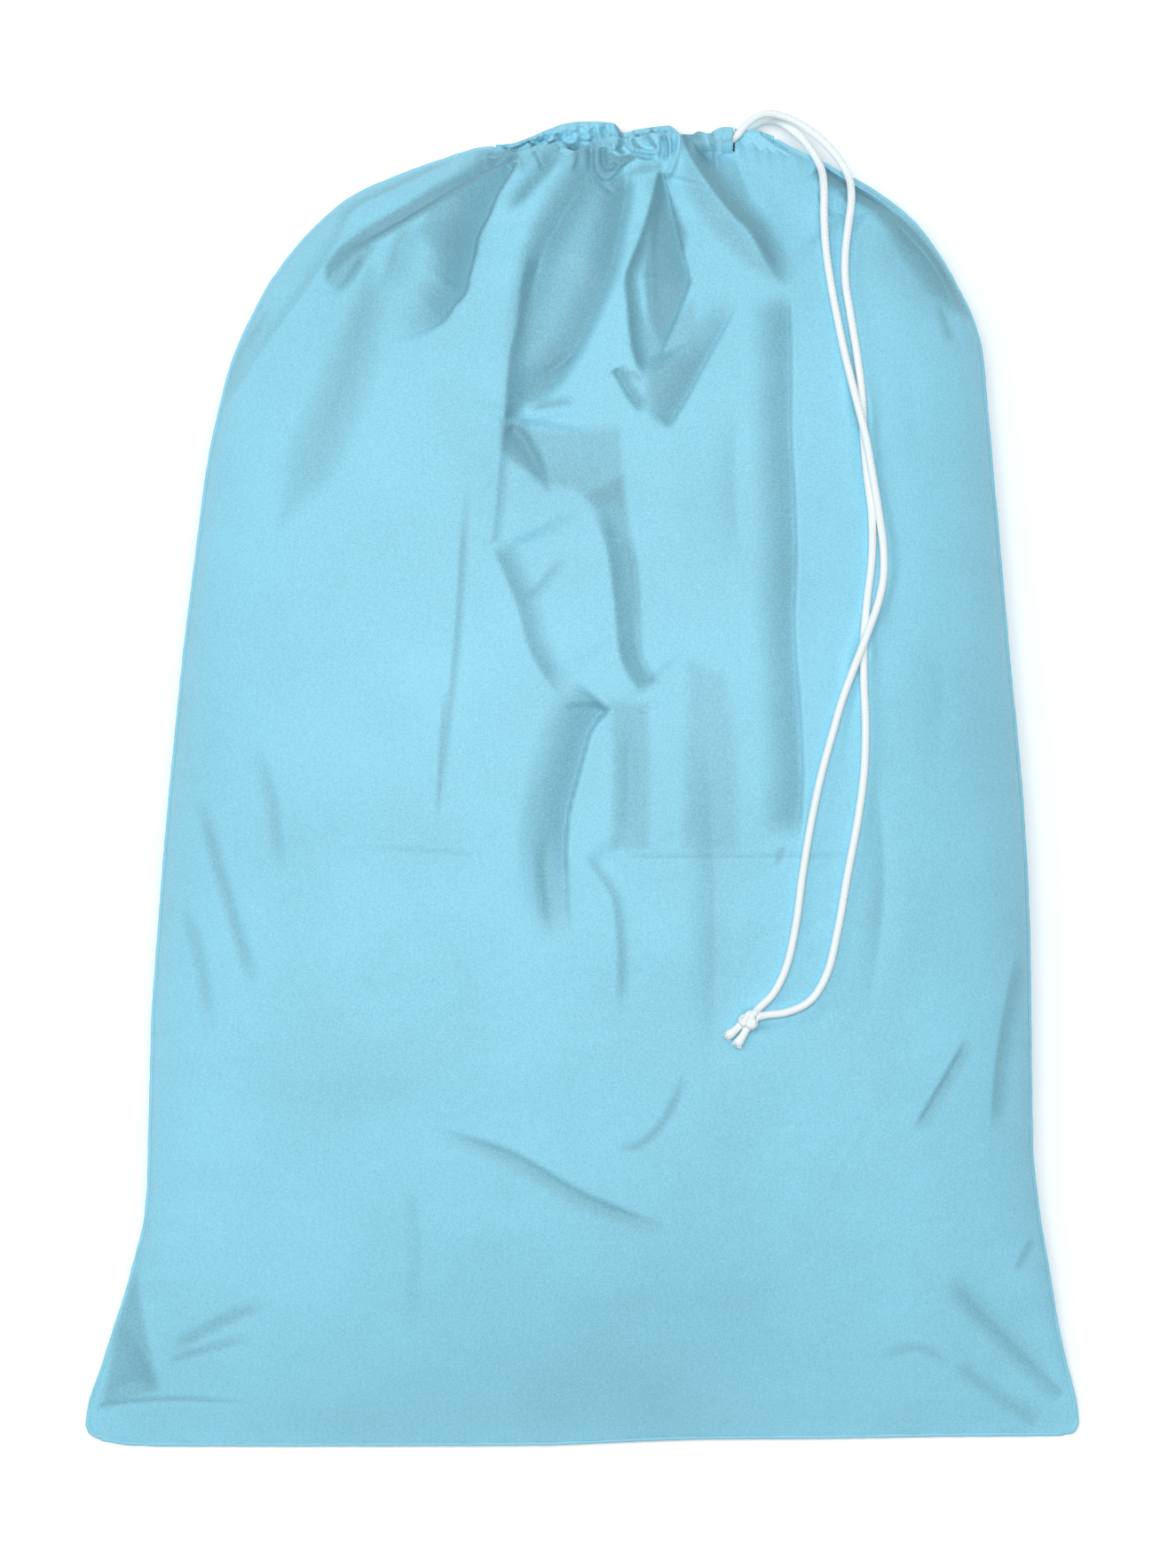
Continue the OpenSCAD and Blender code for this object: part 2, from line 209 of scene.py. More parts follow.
def rows_cols(n_low, n_neck, n_cols, edge):
    """Grid of the panel as seen from above: (x, y, s, y along the bag, neck share)."""
    t = np.linspace(-1, 1, n_cols)
    s = 0.55 * np.sin(math.pi / 2 * t) + 0.45 * t
    v = np.linspace(0, 1, n_low)
    y = -405 + (Y_NECK + 405) * (0.12 * smooth01(v) + 0.88 * v)
    first = np.array([-405, -404.2, -403, -401.4, -399.4, -397])
    y = np.r_[first, y[y > -395.8]]
    X, Y, S, YA, TAU = [], [], [], [], []
    for yy in y:
        l, r = np.interp(yy, _y, _sl), np.interp(yy, _y, _sr)
        x = (l + r) / 2 + s * (r - l) / 2
        dy = np.interp(x, LOW_X, LOW_Y) * math.exp(-(yy + 405) / 45)
        X.append(x); Y.append(yy + dy); S.append(s); YA.append(np.full_like(x, yy)); TAU.append(np.zeros_like(x))
    lt = curve_through([(float(np.interp(Y_NECK, _y, _sl)), Y_NECK)] + LEFT_TOP[1:], 0.5)
    rt = curve_through([(float(np.interp(Y_NECK, _y, _sr)), Y_NECK)] + RIGHT_TOP[1:], 0.5)
    ex, ey = [p[0] for p in edge], [p[1] for p in edge]
    fine = np.linspace(ex[0], ex[-1], 600)
    fy = blur(np.interp(fine, ex, ey), 4)
    for tau in np.linspace(0, 1, n_neck + 1)[1:]:
        a = lt[min(len(lt) - 1, int(round(tau * (len(lt) - 1))))]
        b = rt[min(len(rt) - 1, int(round(tau * (len(rt) - 1))))]
        x = (a[0] + b[0]) / 2 + s * (b[0] - a[0]) / 2
        line = a[1] + (b[1] - a[1]) * (s + 1) / 2
        end = lt[-1][1] + (rt[-1][1] - lt[-1][1]) * (s + 1) / 2
        xe = (lt[-1][0] + rt[-1][0]) / 2 + s * (rt[-1][0] - lt[-1][0]) / 2
        want = np.interp(xe, fine, fy)
        yy = line + (want - end) * tau ** 2.5
        X.append(x); Y.append(yy); S.append(s)
        YA.append(np.full_like(x, Y_NECK + (392 - Y_NECK) * tau)); TAU.append(np.full_like(x, tau))
    return [np.array(a) for a in (X, Y, S, YA, TAU)]


# ---------------------------------------------------------------- folds, as seen from above (mm), with the shade painted into the cloth's colour along them
# ("edge", points, high side (+1: left of the way the points run), slope the low side falls away at, its width, rise,
# rise width, painted shade, fade in, out)
# ("tuck", the same, but the low side comes down towards the line, and the high side lies over it)
# ("vale", points, depth, width to the left, width to the right, painted shade left, painted shade right, fade in, out)
# ("line", points, height, width, fade in, out)        ("patch", points round it, painted shade, softness)
FOLDS = [
    # left shoulder
    ("tuck", [(-152, 342), (-139, 355), (-123, 363), (-104, 372), (-90, 379), (-76, 383)], -1, .30, 7, .7, 7, .25, .2, .2),
    ("tuck", [(-38, 386), (-48, 382), (-57, 378), (-72, 370), (-86, 362), (-99, 354), (-114, 345), (-128, 337),
              (-137, 332), (-152, 323)], 1, .85, 11, 2.0, 10, 1.0, .02, .25),
    ("tuck", [(-38, 385), (-45, 374), (-52, 363), (-57, 351), (-64, 337), (-66, 326), (-69, 315), (-72, 302),
              (-79, 294), (-84, 286), (-95, 279), (-104, 275), (-119, 270)], 1, .62, 32, 2.2, 10, .95, .06, .5),
    ("vale", [(-100, 352), (-112, 334), (-117, 318), (-128, 296)], 2.2, 15, 8, .15, .3, .3, .5),
    ("line", [(-102, 323), (-82, 307)], 0.7, 1.3, .3, .3),
    ("vale", [(-137, 328), (-146, 312), (-158, 301)], 2.4, 7, 7, .5, .2, .2, .4),
    ("vale", [(-130, 316), (-138, 290), (-147, 258), (-160, 222), (-176, 188)], 1.4, 12, 9, .10, .12, .2, .5),
    ("patch", [(-131, 317), (-125, 298), (-127, 264), (-138, 226), (-156, 190), (-186, 160), (-180, 206), (-156, 262)], .20, 8),
    ("patch", [(-158, 318), (-150, 330), (-128, 345), (-98, 362), (-72, 375), (-50, 384), (-60, 375), (-86, 359), (-114, 342),
               (-137, 329), (-150, 319), (-157, 312)], .70, 2.2),
    ("patch", [(-158, 322), (-148, 330), (-136, 334), (-128, 331), (-134, 322), (-142, 312), (-155, 306), (-159, 312)], .30, 3),
    ("patch", [(-92, 366), (-70, 372), (-58, 352), (-66, 326), (-76, 308), (-84, 318), (-100, 340)], .34, 5),
    # the straight crease where the left shoulder turns under
    ("edge", [(-221, 230), (-196, 269), (-168, 308), (-155, 328), (-143, 350), (-130, 363)], -1, .10, 10, .5, 3, .16, .1, .2),
    # pleats that fan out from the left half of the mouth
    ("vale", [(-15, 389), (-24, 375), (-32, 366), (-40, 357), (-47, 352)], 4.0, 4, 11, .15, .75, .0, .35),
    ("edge", [(-33, 332), (-35, 321), (-38, 309), (-41, 284), (-45, 266), (-47, 248), (-48, 230), (-49, 222)], -1, .55, 15, 1.8,
     14, .60, .14, .05),
    ("edge", [(-48, 236), (-49, 222), (-50, 210), (-52, 194), (-54, 170), (-57, 146)], -1, .34, 8, 1.6, 14, .16, .08, .05),
    ("edge", [(-57, 147), (-48, 127), (-41, 110), (-33, 82), (-21, 61), (-10, 49)], -1, .34, 18, .9, 10, .40, .10, .25),
    ("vale", [(6, 392), (4, 377), (-6, 360), (-16, 343), (-25, 325), (-31, 305), (-37, 276), (-42, 252)], 6.0, 15, 17, .5, .72,
     .0, .5),
    ("vale", [(24, 384), (27, 366), (23, 343), (18, 319), (8, 294), (-5, 267), (-18, 249), (-32, 236), (-46, 228)], 7.0, 8, 22,
     .32, .95, .10, .2),
    ("line", [(-2, 266), (-17, 253), (-30, 238)], 1.0, 2.2, .3, .3),
    ("vale", [(-3, 266), (-15, 257), (-26, 249)], 1.6, 4, 5, .5, .3, .3, .4),
    ("vale", [(-3, 236), (-18, 235), (-34, 231)], 1.6, 4, 5, .5, .3, .3, .3),
    # the diamond and the pocket below it
    ("edge", [(47, 380), (41, 356), (35, 337), (26, 312), (27, 297), (30, 268), (34, 256), (39, 248)], -1, .80, 11, 1.6, 8, .85,
     .05, .1),
    ("patch", [(47.5, 377), (56, 358), (63.5, 339), (61.5, 322), (66.5, 309), (58, 290), (50, 268), (41, 286), (38, 312),
               (38, 330), (42.5, 352)], .84, 2.6),
    ("tuck", [(49, 380), (55, 357), (62, 328), (66, 310), (61, 294), (53, 276), (43, 254)], 1, .45, 17, 1.3, 9, .35, .06, .25),
    ("line", [(44, 352), (42, 326), (43, 301), (43, 280)], 1.6, 2.6, .3, .3),
    ("line", [(35, 309), (41, 312), (48, 311)], .9, 1.3, .3, .3),
    ("patch", [(27, 302), (38, 268), (44, 240), (52, 221), (61, 238), (74, 262), (68, 298), (58, 288), (50, 268), (40, 286)], .30, 4),
    ("tuck", [(19, 255), (27, 240), (37, 227)], -1, .60, 10, .7, 4, .85, .03, .25),
    ("tuck", [(18, 256), (25, 252), (31, 254), (39, 248)], 1, .4, 5, .8, 3, .5, .05, .2),
    ("tuck", [(99, 304), (90, 284), (78, 262), (64, 236), (53, 219)], 1, .26, 24, .3, 10, .38, .3, .05),
    ("patch", [(48, 268), (70, 262), (80, 274), (66, 244), (54, 219), (46, 222), (38, 236), (40, 250)], .28, 4),
    # triangle and the faint square under the pleats
    ("edge", [(-49, 222), (-44, 205), (-33, 190), (-22, 178)], 1, .0, 5, .0, 5, .0, .1, .3),
    ("vale", [(-46, 221), (-38, 214), (-30, 201), (-22, 183)], 3.6, 6, 11, .15, .25, .1, .3),
    ("patch", [(-50, 223), (-35, 221), (-27, 203), (-21, 181), (-33, 193), (-42, 198), (-50, 206)], .62, 3.5),
    ("line", [(-30, 222), (-15, 225), (2, 224)], .8, 1.6, .2, .3),
    ("line", [(-29, 219), (-4, 218), (21, 219)], .4, 1.2, .2, .2),
    ("line", [(-35, 235), (-2, 235)], .5, 1.2, .2, .2),
    ("patch", [(-36, 217), (22.5, 218), (24.5, 192), (25, 172), (8, 172), (-6, 182), (-23, 186), (-31, 200)], .25, 3.5),
    ("patch", [(1, 177), (12, 165), (17.5, 146), (19.5, 117), (23.5, 80), (36, 56), (47, 62), (36.5, 75), (36, 104), (33.5, 133),
               (28, 160), (24.5, 190)], .34, 2.6),
    # the two hooked folds lower down the middle
    ("edge", [(0, 173), (8, 162), (14, 146), (19, 113), (22, 82), (27, 67), (36, 55)], -1, .50, 12, 1.0, 9, .30, .2, .05),
    ("tuck", [(28, 160), (34, 130), (36, 82), (46, 61)], 1, .34, 9, .8, 8, .15, .2, .1),
    ("line", [(19, 151), (30, 151)], .8, 1.4, .3, .3),
    ("vale", [(-10, 139), (-28, 117), (-38, 111)], 1.2, 5, 7, .1, .3, .3, .3),
    ("tuck", [(17, 46), (6, 33), (1, 17), (-3, 2), (-8, -18), (-10, -39), (-9, -68), (-7, -110)], 1, .40, 34, 1.2, 10, .58,
     .03, .5),
    ("patch", [(18, 50), (40, 48), (41, 0), (40, -40), (18, -41), (19, 0)], .24, 3.5),
    ("patch", [(66, 76), (88, 66), (94, 20), (96, -40), (62, -41), (64, 20)], .16, 5),
    ("tuck", [(-12, 49), (3, 48), (17, 46)], 1, .5, 7, .8, 6, .3, .2, .02),
    ("line", [(-20, 42), (-30, 26), (-38, -10), (-42, -47), (-33, -83), (-25, -110)], 1.0, 6, .3, .4),
    ("vale", [(-24, -30), (-22, -66), (-16, -100)], 1.8, 7, 10, .15, .45, .3, .4),
    ("vale", [(30, 40), (29, 10), (28, -36)], 2.0, 9, 11, .05, .08, .3, .2),
    ("edge", [(-73, 190), (-76, 146), (-79, 98), (-82, 65), (-86, 33), (-89, 2), (-90, -20)], -1, .26, 7, .5, 6, .3, .2, .2),
    ("vale", [(-84, 60), (-87, 30), (-88, 5), (-90, -25)], .9, 2.4, 2.4, .3, .4, .2, .2),
    # right half of the mouth: the long slanting valley, then the groove it turns into
    ("edge", [(62, 396), (67, 385), (73, 376), (80, 366), (93, 350), (102, 341), (108, 331), (115, 318), (122, 309),
              (128, 303)], -1, .80, 18, 2.2, 9, .95, .0, .28),
    ("patch", [(66, 386), (82, 362), (100, 342), (121, 310), (104, 318), (86, 335), (72, 352), (62, 372)], .26, 5),
    ("line", [(104, 372), (118, 345), (130, 318)], 1.8, 7, .3, .3),
    ("line", [(105, 340), (123, 311)], .7, 1.2, .3, .3),
    ("tuck", [(127, 306), (128, 292), (129, 256), (129, 213), (131, 176), (132, 139), (131, 100), (135, 34), (136, 4),
              (135, -25), (133, -40)], 1, .26, 28, .9, 12, .50, .05, .06),
    ("vale", [(23, -45), (79, -46), (131, -45), (190, -44)], .6, 2.2, 2.2, .2, .2, .1, .3),
    ("vale", [(-140, -40), (-95, -42), (-60, -46)], .4, 2.4, 2.4, .15, .15, .3, .3),
    ("vale", [(125, -38), (119, -53)], .8, 3, 3, .3, .3, .3, .3),
    ("edge", [(-1, -44), (7, -55), (17, -70), (21, -98), (21, -148)], -1, .30, 9, .5, 6, .3, .1, .3),
    ("line", [(68, 0), (94, 5)], .4, 1.4, .3, .3),
    ("vale", [(75, 40), (80, -20), (82, -110), (78, -200)], 2.4, 18, 20, .08, .16, .3, .4),
    # right shoulder
    ("tuck", [(146, 383), (152, 378), (163, 371), (180, 361), (194, 351), (207, 338), (218.5, 324), (227, 311), (237, 294)],
     1, .80, 12, .8, 4, 1.0, .02, .3),
    ("tuck", [(190, 348), (205, 334), (217, 319), (226, 302), (234, 280)], 1, .28, 32, .2, 6, .12, .25, .3),
    ("patch", [(152, 378), (158, 367), (162, 359), (169, 359.5), (178, 355), (189, 351), (178, 360), (166, 368.5), (155, 376)],
     .75, 1.3),
    ("patch", [(184, 349), (195, 347), (207, 339), (221, 322), (235, 302), (239, 288), (229, 292), (214, 303), (197, 328)],
     .42, 5),
    ("vale", [(172, 369), (186, 360), (199, 350.6), (212, 338), (224, 322)], .8, 1.2, 1.2, .5, .5, .1, .3),
    ("vale", [(220, 298), (230, 269)], 1.6, 5, 7, .2, .35, .3, .3),
    # the two bottom corners
    ("edge", [(-286, -330), (-277, -344), (-268, -359), (-262, -376)], 1, .42, 17, .6, 6, .15, .15, .25),
    ("patch", [(-276, -303), (-270, -340), (-262, -374), (-296, -385), (-290, -352), (-284, -325)], .34, 3),
    ("vale", [(-301, -385), (-280, -382.5), (-255, -381), (-200, -383)], 1.2, 3, 4, .4, .1, .05, .4),
    ("vale", [(-256, -349), (-230, -336), (-207, -325), (-189, -320)], 1.6, 6, 7, .1, .4, .2, .4),
    ("vale", [(-258, -358), (-241, -352), (-218, -346), (-201, -341)], 1.2, 4, 5, .1, .35, .2, .4),
    ("vale", [(226, -304), (261, -340), (299, -378)], 2.8, 9, 14, .06, .38, .2, .05),
    ("vale", [(230, -356), (261, -380), (284, -394)], 1.8, 6, 10, .06, .3, .2, .1),
    ("patch", [(-108, -310), (120, -312), (125, -385), (-112, -392)], .03, 12),
    ("patch", [(205, -300), (250, -300), (285, -350), (290, -392), (240, -392)], .04, 12),
    ("vale", [(181, -354), (209, -349), (230, -361)], 1.0, 5, 5, .1, .25, .3, .3),
    ("vale", [(278, -281), (268, -302)], 1.2, 4, 4, .3, .3, .2, .2),
    # left side
    ("vale", [(-236, -2), (-226, -44), (-214, -86), (-200, -130)], 2.2, 6, 8, .1, .45, .3, .2),
    ("vale", [(-246, -70), (-235, -112), (-228, -160)], 1.8, 6, 8, .1, .3, .3, .4),
    ("vale", [(-205, 30), (-192, -10), (-186, -60)], 1.6, 6, 8, .1, .25, .4, .3),
    ("vale", [(-228, 225), (-214, 262), (-190, 300)], 2.2, 8, 8, .1, .3, .4, .3),
    # right side
    ("edge", [(268, -100), (260, -138), (254, -176), (251, -219)], -1, .30, 13, .5, 8, .35, .2, .2),
    ("tuck", [(238, -155), (225, -178), (203, -216)], -1, .34, 12, .6, 6, .45, .2, .2),
    ("vale", [(215, 100), (222, 60), (216, -10)], 1.0, 15, 16, .0, .0, .4, .4),
    ("vale", [(200, 280), (205, 230), (212, 190)], .8, 14, 14, .0, .0, .4, .4),
    ("vale", [(180, 20), (186, -60), (176, -150)], 1.8, 16, 16, .0, .12, .4, .4),
    ("vale", [(96, 240), (94, 190), (98, 130)], 1.6, 18, 18, .0, .08, .4, .4),
    ("vale", [(168, 286), (172, 232), (178, 190)], 1.4, 10, 12, .05, .18, .4, .4),
    # lower middle
    ("tuck", [(-95, -212), (-70, -219), (-42, -229), (2, -254), (57, -276)], 1, .36, 14, .9, 10, .46, .3, .25),
    ("vale", [(20, -225), (33, -224), (46, -213), (56, -196), (62, -174)], 1.4, 3, 6, .1, .5, .2, .4),
    ("vale", [(-108, -350), (-104, -300), (-108, -240)], 1.0, 7, 7, .05, .12, .3, .3),
    ("patch", [(12, 389), (11, 382), (14.4, 376.5), (21, 377.6), (32.5, 385), (31, 388.5), (22, 386.5), (17.6, 389)], .85, .9),
    ("patch", [(-6, 384), (20, 374), (24, 350), (16, 318), (5, 290), (-10, 264), (-30, 240), (-46, 227), (-46, 250), (-40, 285),
               (-35, 320), (-30, 345), (-20, 365)], .34, 6),
    ("patch", [(-50, 390), (-30, 392), (-8, 391), (-20, 376), (-42, 380)], .15, 4),
    ("patch", [(27, 375), (36, 382), (48, 383), (49, 379), (38, 376)], .35, 2),
    # the drawn-up mouth: lip fold, ruffles, the slot at its right and the tuft beside the smooth panel
    ("line", [(8.7, 393), (8.2, 385), (8.6, 379.5), (11.5, 374.8), (15.7, 373.6), (19.4, 377), (25.5, 383.2), (31, 386.2)],
     3.0, 1.8, .05, .1),
    ("vale", [(13, 393), (12.4, 386), (13.6, 380.5), (16, 378.6), (21, 383)], 4.0, 3.8, 3.4, .85, .45, .1, .1),
    ("vale", [(6.2, 392), (6, 381), (8.6, 374), (14.4, 367.6), (23, 361)], 2.0, 3.0, 4.0, .3, .5, .1, .3),
    ("vale", [(22.5, 399), (24, 394.5), (22, 391), (26.5, 388.4)], 4.6, 2.2, 2.2, 1.0, 1.0, .0, .2),
    ("line", [(17, 396), (20, 393), (18, 390)], 2.8, 1.4, .1, .2),
    ("line", [(26.5, 398), (28, 393), (33, 389.4)], 3.4, 1.2, .1, .2),
    ("vale", [(30.5, 399), (32, 394.5), (37, 391)], 4.0, 2.0, 2.0, .9, .9, .0, .2),
    ("line", [(33.5, 392), (39.5, 389.4), (47, 389)], 3.0, 1.2, .1, .2),
    ("vale", [(29, 388), (35, 387.4), (40, 385.6), (45, 387)], 2.8, 2.6, 2.6, .55, .5, .3, .3),
    ("line", [(36, 398), (39, 394.6), (43, 393.6)], 2.8, 1.2, .1, .2),
    ("vale", [(39, 400), (42, 396.4), (46, 391)], 3.2, 1.8, 1.8, .8, .8, .0, .2),
    ("line", [(30, 385), (38, 383.6), (46, 384)], 1.8, 1.3, .2, .2),
    ("line", [(46.4, 402), (47.0, 396), (46.8, 390), (45, 384)], 2.6, 1.7, .05, .3),
    ("vale", [(49, 402), (51.6, 395), (52.2, 389), (50, 383)], 4.0, 2.6, 2.8, .6, .75, .1, .3),
    ("line", [(53.2, 400), (53.9, 393), (53.2, 387)], 2.4, 1.1, .1, .2),
    ("vale", [(55.4, 398), (56.2, 392), (55, 386)], 1.8, 1.6, 1.6, .4, .4, .25, .3),
    ("line", [(59.4, 402), (59.2, 395), (57.8, 387), (54.8, 379), (51, 372)], 3.6, 1.8, .0, .2),
    ("vale", [(70, 402), (73, 394), (77, 386), (80, 380)], 4.0, 4, 5, .5, 1.0, .0, .3),
    ("tuck", [(81, 401), (82.5, 393), (82, 384), (84, 376)], 1, .8, 5, 1.2, 5, .7, .0, .3),
    ("line", [(75.4, 400), (78, 393)], 3.0, 1.2, .0, .3),
    ("vale", [(78, 398), (80, 392)], 2.6, 1.4, 1.4, .8, .8, .0, .3),
    ("vale", [(80, 395.6), (88, 396.4), (97, 397.4)], 2.0, 2.0, 2.4, .5, .4, .1, .3),
    ("line", [(82, 400.5), (88, 401.5), (96, 400.5)], 1.8, 2.4, .1, .2),
    ("vale", [(92, 392), (98, 374), (106, 356)], 1.6, 7, 9, .05, .2, .2, .4),
    ("vale", [(-30, 389), (-26, 384), (-24, 377)], 2.2, 2, 3, .5, .6, .0, .3),
    ("vale", [(-2, 391), (-3, 383), (-6, 375)], 2.2, 2, 3, .4, .6, .0, .3),
    ("line", [(-40, 388), (-34, 390), (-26, 391)], 1.6, 1.6, .2, .2),
]


BACK_FOLDS = [
    ("vale", [(-36, 399), (-32, 394), (-26, 391)], 2.6, 1.8, 1.8, .5, .5, .1, .2),
    ("vale", [(-29, 396), (-25, 396.5), (-20, 399)], 2.4, 1.6, 1.6, .5, .5, .1, .2),
    ("vale", [(-24, 391), (-20, 394.5), (-15, 397)], 2.4, 1.6, 1.6, .5, .5, .1, .2),
    ("line", [(-33, 397), (-28, 393.5), (-22, 393)], 2.2, 1.2, .1, .2),
    ("line", [(-26, 399), (-21, 396.6), (-17, 398.6)], 2.0, 1.2, .1, .2),
    ("vale", [(-16, 402), (-14.4, 397), (-10, 393), (-6, 389)], 2.4, 2.0, 2.0, .45, .45, .1, .2),
    ("vale", [(-2.6, 405), (-3, 400), (-1.6, 395), (-2, 390)], 2.4, 1.8, 1.8, .45, .45, .0, .2),
    ("vale", [(6, 405), (6.2, 400), (7.4, 396)], 2.2, 1.6, 1.6, .45, .45, .1, .3),
    ("vale", [(13.6, 405), (13, 400), (15, 395), (16, 390)], 2.6, 2.0, 2.2, .45, .5, .0, .2),
    ("line", [(-12, 403), (-8, 404), (-4, 402)], 1.6, 1.6, .2, .2),
    ("line", [(-12, 396.6), (-8, 395), (-4.6, 397)], 1.8, 1.4, .2, .2),
    ("line", [(-1, 398.6), (2.4, 397.2), (5, 399)], 1.8, 1.2, .2, .2),
    ("vale", [(21, 404), (23.4, 400), (24.4, 396)], 4.5, 2.4, 2.4, 1.0, 1.0, .0, .1),
    ("vale", [(30, 402), (33, 399), (38, 397.4)], 2.2, 1.8, 1.8, .45, .45, .1, .3),
    ("vale", [(41, 405), (44, 401), (49, 399)], 1.8, 1.8, 1.8, .6, .6, .1, .3),
    ("line", [(32, 404), (38, 401.6), (44, 403)], 1.6, 1.6, .2, .2),
    ("vale", [(-46, 391), (-40, 392), (-35, 395.6)], 1.8, 1.6, 1.6, .6, .6, .1, .2),
]


def to_line(x, y, pts, reach):
    """Signed distance (left of the line is +), and the share along it, for points within reach."""
    C = curve_through(pts, 3.0)
    lo, hi = C.min(0) - reach, C.max(0) + reach
    near = np.nonzero((x > lo[0]) & (x < hi[0]) & (y > lo[1]) & (y < hi[1]))[0]
    px, py = x[near], y[near]
    best = np.full(len(near), 1e9)
    sign = np.ones(len(near))
    share = np.zeros(len(near))
    seg = np.diff(C, axis=0)
    ln = np.linalg.norm(seg, axis=1)
    at = np.r_[0, np.cumsum(ln)]
    for k in range(len(seg)):
        dx, dy = px - C[k, 0], py - C[k, 1]
        t = np.clip((dx * seg[k, 0] + dy * seg[k, 1]) / ln[k] ** 2, 0, 1)
        ex, ey = dx - t * seg[k, 0], dy - t * seg[k, 1]
        d = np.hypot(ex, ey)
        m = d < best
        best[m] = d[m]
        sign[m] = np.where(seg[k, 0] * dy[m] - seg[k, 1] * dx[m] >= 0, 1, -1)
        share[m] = ((at[k] + t * ln[k]) / at[-1])[m]
    return near, best, sign, share


def taper(share, a, b):
    w = np.ones_like(share)
    if a > 0:
        w = w * smooth01(share / a)
    if b > 0:
        w = w * smooth01((1 - share) / b)
    return w


def eased(d, w):
    """0 at d = 0, slope 1 there, easing to 2/3 w at d = w."""
    q = np.minimum(d, w)
    return q - q ** 3 / (3 * w * w)


def in_patch(x, y, pts, soft):
    """1 inside the outline, 0 outside, over a soft border."""
    inside = np.zeros(x.shape, bool)
    dist = np.full(x.shape, 1e9)
    for k in range(len(pts)):
        (x0, y0), (x1, y1) = pts[k], pts[(k + 1) % len(pts)]
        hit = ((y0 > y) != (y1 > y)) & (x < (x1 - x0) * (y - y0) / (y1 - y0 + 1e-12) + x0)
        inside ^= hit
        t = np.clip(((x - x0) * (x1 - x0) + (y - y0) * (y1 - y0)) / ((x1 - x0) ** 2 + (y1 - y0) ** 2), 0, 1)
        dist = np.minimum(dist, np.hypot(x - x0 - t * (x1 - x0), y - y0 - t * (y1 - y0)))
    return smooth01(0.5 + np.where(inside, dist, -dist) / (2 * soft))


def fold_height(x, y, folds):
    """Height of all the folds at the points x, y, and how much shade is painted into the colour at each."""
    shape = x.shape
    x, y = x.ravel(), y.ravel()
    z = np.zeros_like(x)
    lit = np.ones_like(x)
    for f in folds:
        kind, pts, a, b = f[0], f[1], f[-2], f[-1]
        if kind == "patch":
            # a patch is painted shade only: it darkens the colour and doesn't change the cloth's shape
            lit *= 1 - a * in_patch(x, y, pts, b)
        elif kind == "line":
            h, w = f[2:4]
            near, d, sg, sh = to_line(x, y, pts, 3 * w)
            z[near] += h * np.exp(-(d / w) ** 2) * taper(sh, a, b)
        elif kind == "vale":
            depth, wl, wr, tl, tr = f[2:7]
            near, d, sg, sh = to_line(x, y, pts, max(wl, wr))
            w = np.where(sg > 0, wl, wr)
            shade_paint = np.where(sg > 0, tl, tr)
            tp = taper(sh, a, b)
            d = np.sqrt(d * d + 0.2)
            z[near] -= depth * (1 - eased(d, w) / (2 * w / 3)) * tp
            mix = 0.5 + 0.5 * np.tanh(sg * d / 1.1)
            shade_paint = tl * mix + tr * (1 - mix)
            # painted shade on the valley's sides, in the colour
            lit[near] *= 1 - 0.92 * shade_paint * smooth01(1.08 * (1 - d / w)) * tp
        else:
            side, slope, wd, up, wu, shade_paint = f[2:8]
            back = 3.2 if kind == "edge" else 0.0
            near, d, sg, sh = to_line(x, y, pts, max(3 * wu, (1 + back) * wd))
            s = d * sg * side
            tp = taper(sh, a, b)
            mix = 0.5 + 0.5 * np.tanh(s / 0.5)
            rise = up * np.exp(-(np.sqrt(d * d + 0.16) / wu))
            if kind == "edge":
                drop = -eased(d, wd) * (1 - smooth01((d - wd) / (back * wd)))
            else:
                drop = eased(d, wd) - 2 * wd / 3
            z[near] += (rise * np.where(s > 0, 1.0, np.exp(-d / wd)) + (1 - mix) * slope * drop) * tp
            soft = 0.5 - 0.5 * np.tanh((s + 0.3) / 0.8)
            # painted shade on the low side of the edge or tuck, in the colour
            lit[near] *= 1 - 0.92 * soft * shade_paint * smooth01(1.08 * (1 - d / wd)) * tp
    return z.reshape(shape), (1 - lit).reshape(shape)


# ---------------------------------------------------------------- cords (the route's points repeat part.scad)
ARCH_L = [(88, 395, 9), (95, 399, 8), (103, 405, 7), (112, 410, 9), (122, 409, 13), (132, 402, 19), (141, 392, 27)]
LAY_L = [(147, 381, 8), (149, 368, 3.6), (149, 350, .3), (150, 330, 0), (153, 308, 0), (157, 286, .3), (162, 262, 1),
         (168, 238, 3.4), (174, 214, 5.2), (178, 192, 4.6), (182, 168, 3), (185, 146, .8), (185, 126, .8),
         (181, 108, 2.6), (177, 97, 4.4), (174, 89, 5.4), (171, 81, 4.4), (167, 71, 2.6), (160, 52, .6), (153, 28, 0),
         (146, 2, 0), (140, -27, 0), (135, -58, 0), (131, -88, 0), (125, -114, 0), (117, -130, .4), (108, -139, 1.5)]
ARCH_R = [(88, 395, 35), (95, 400, 34), (102, 408, 31), (113, 414, 27), (128, 411, 24), (144, 401, 25), (156, 389, 29)]
LAY_R = [(164, 376, 6), (166, 361, 2.8), (164, 344, .5), (162, 327, .2), (162, 309, .2), (165, 289, .4), (169, 264, .4),
         (172, 240, 0), (173, 214, 0), (175, 190, 0), (178, 164, 0), (178, 138, 0), (175, 112, 0), (173, 89, 0),
         (173, 62, 0), (174, 34, 0), (173, 6, 0), (169, -24, 0), (163, -56, 0), (157, -90, 0), (150, -118, 0),
         (140, -134, 0), (126, -141, .4), (112, -143, 1.5)]
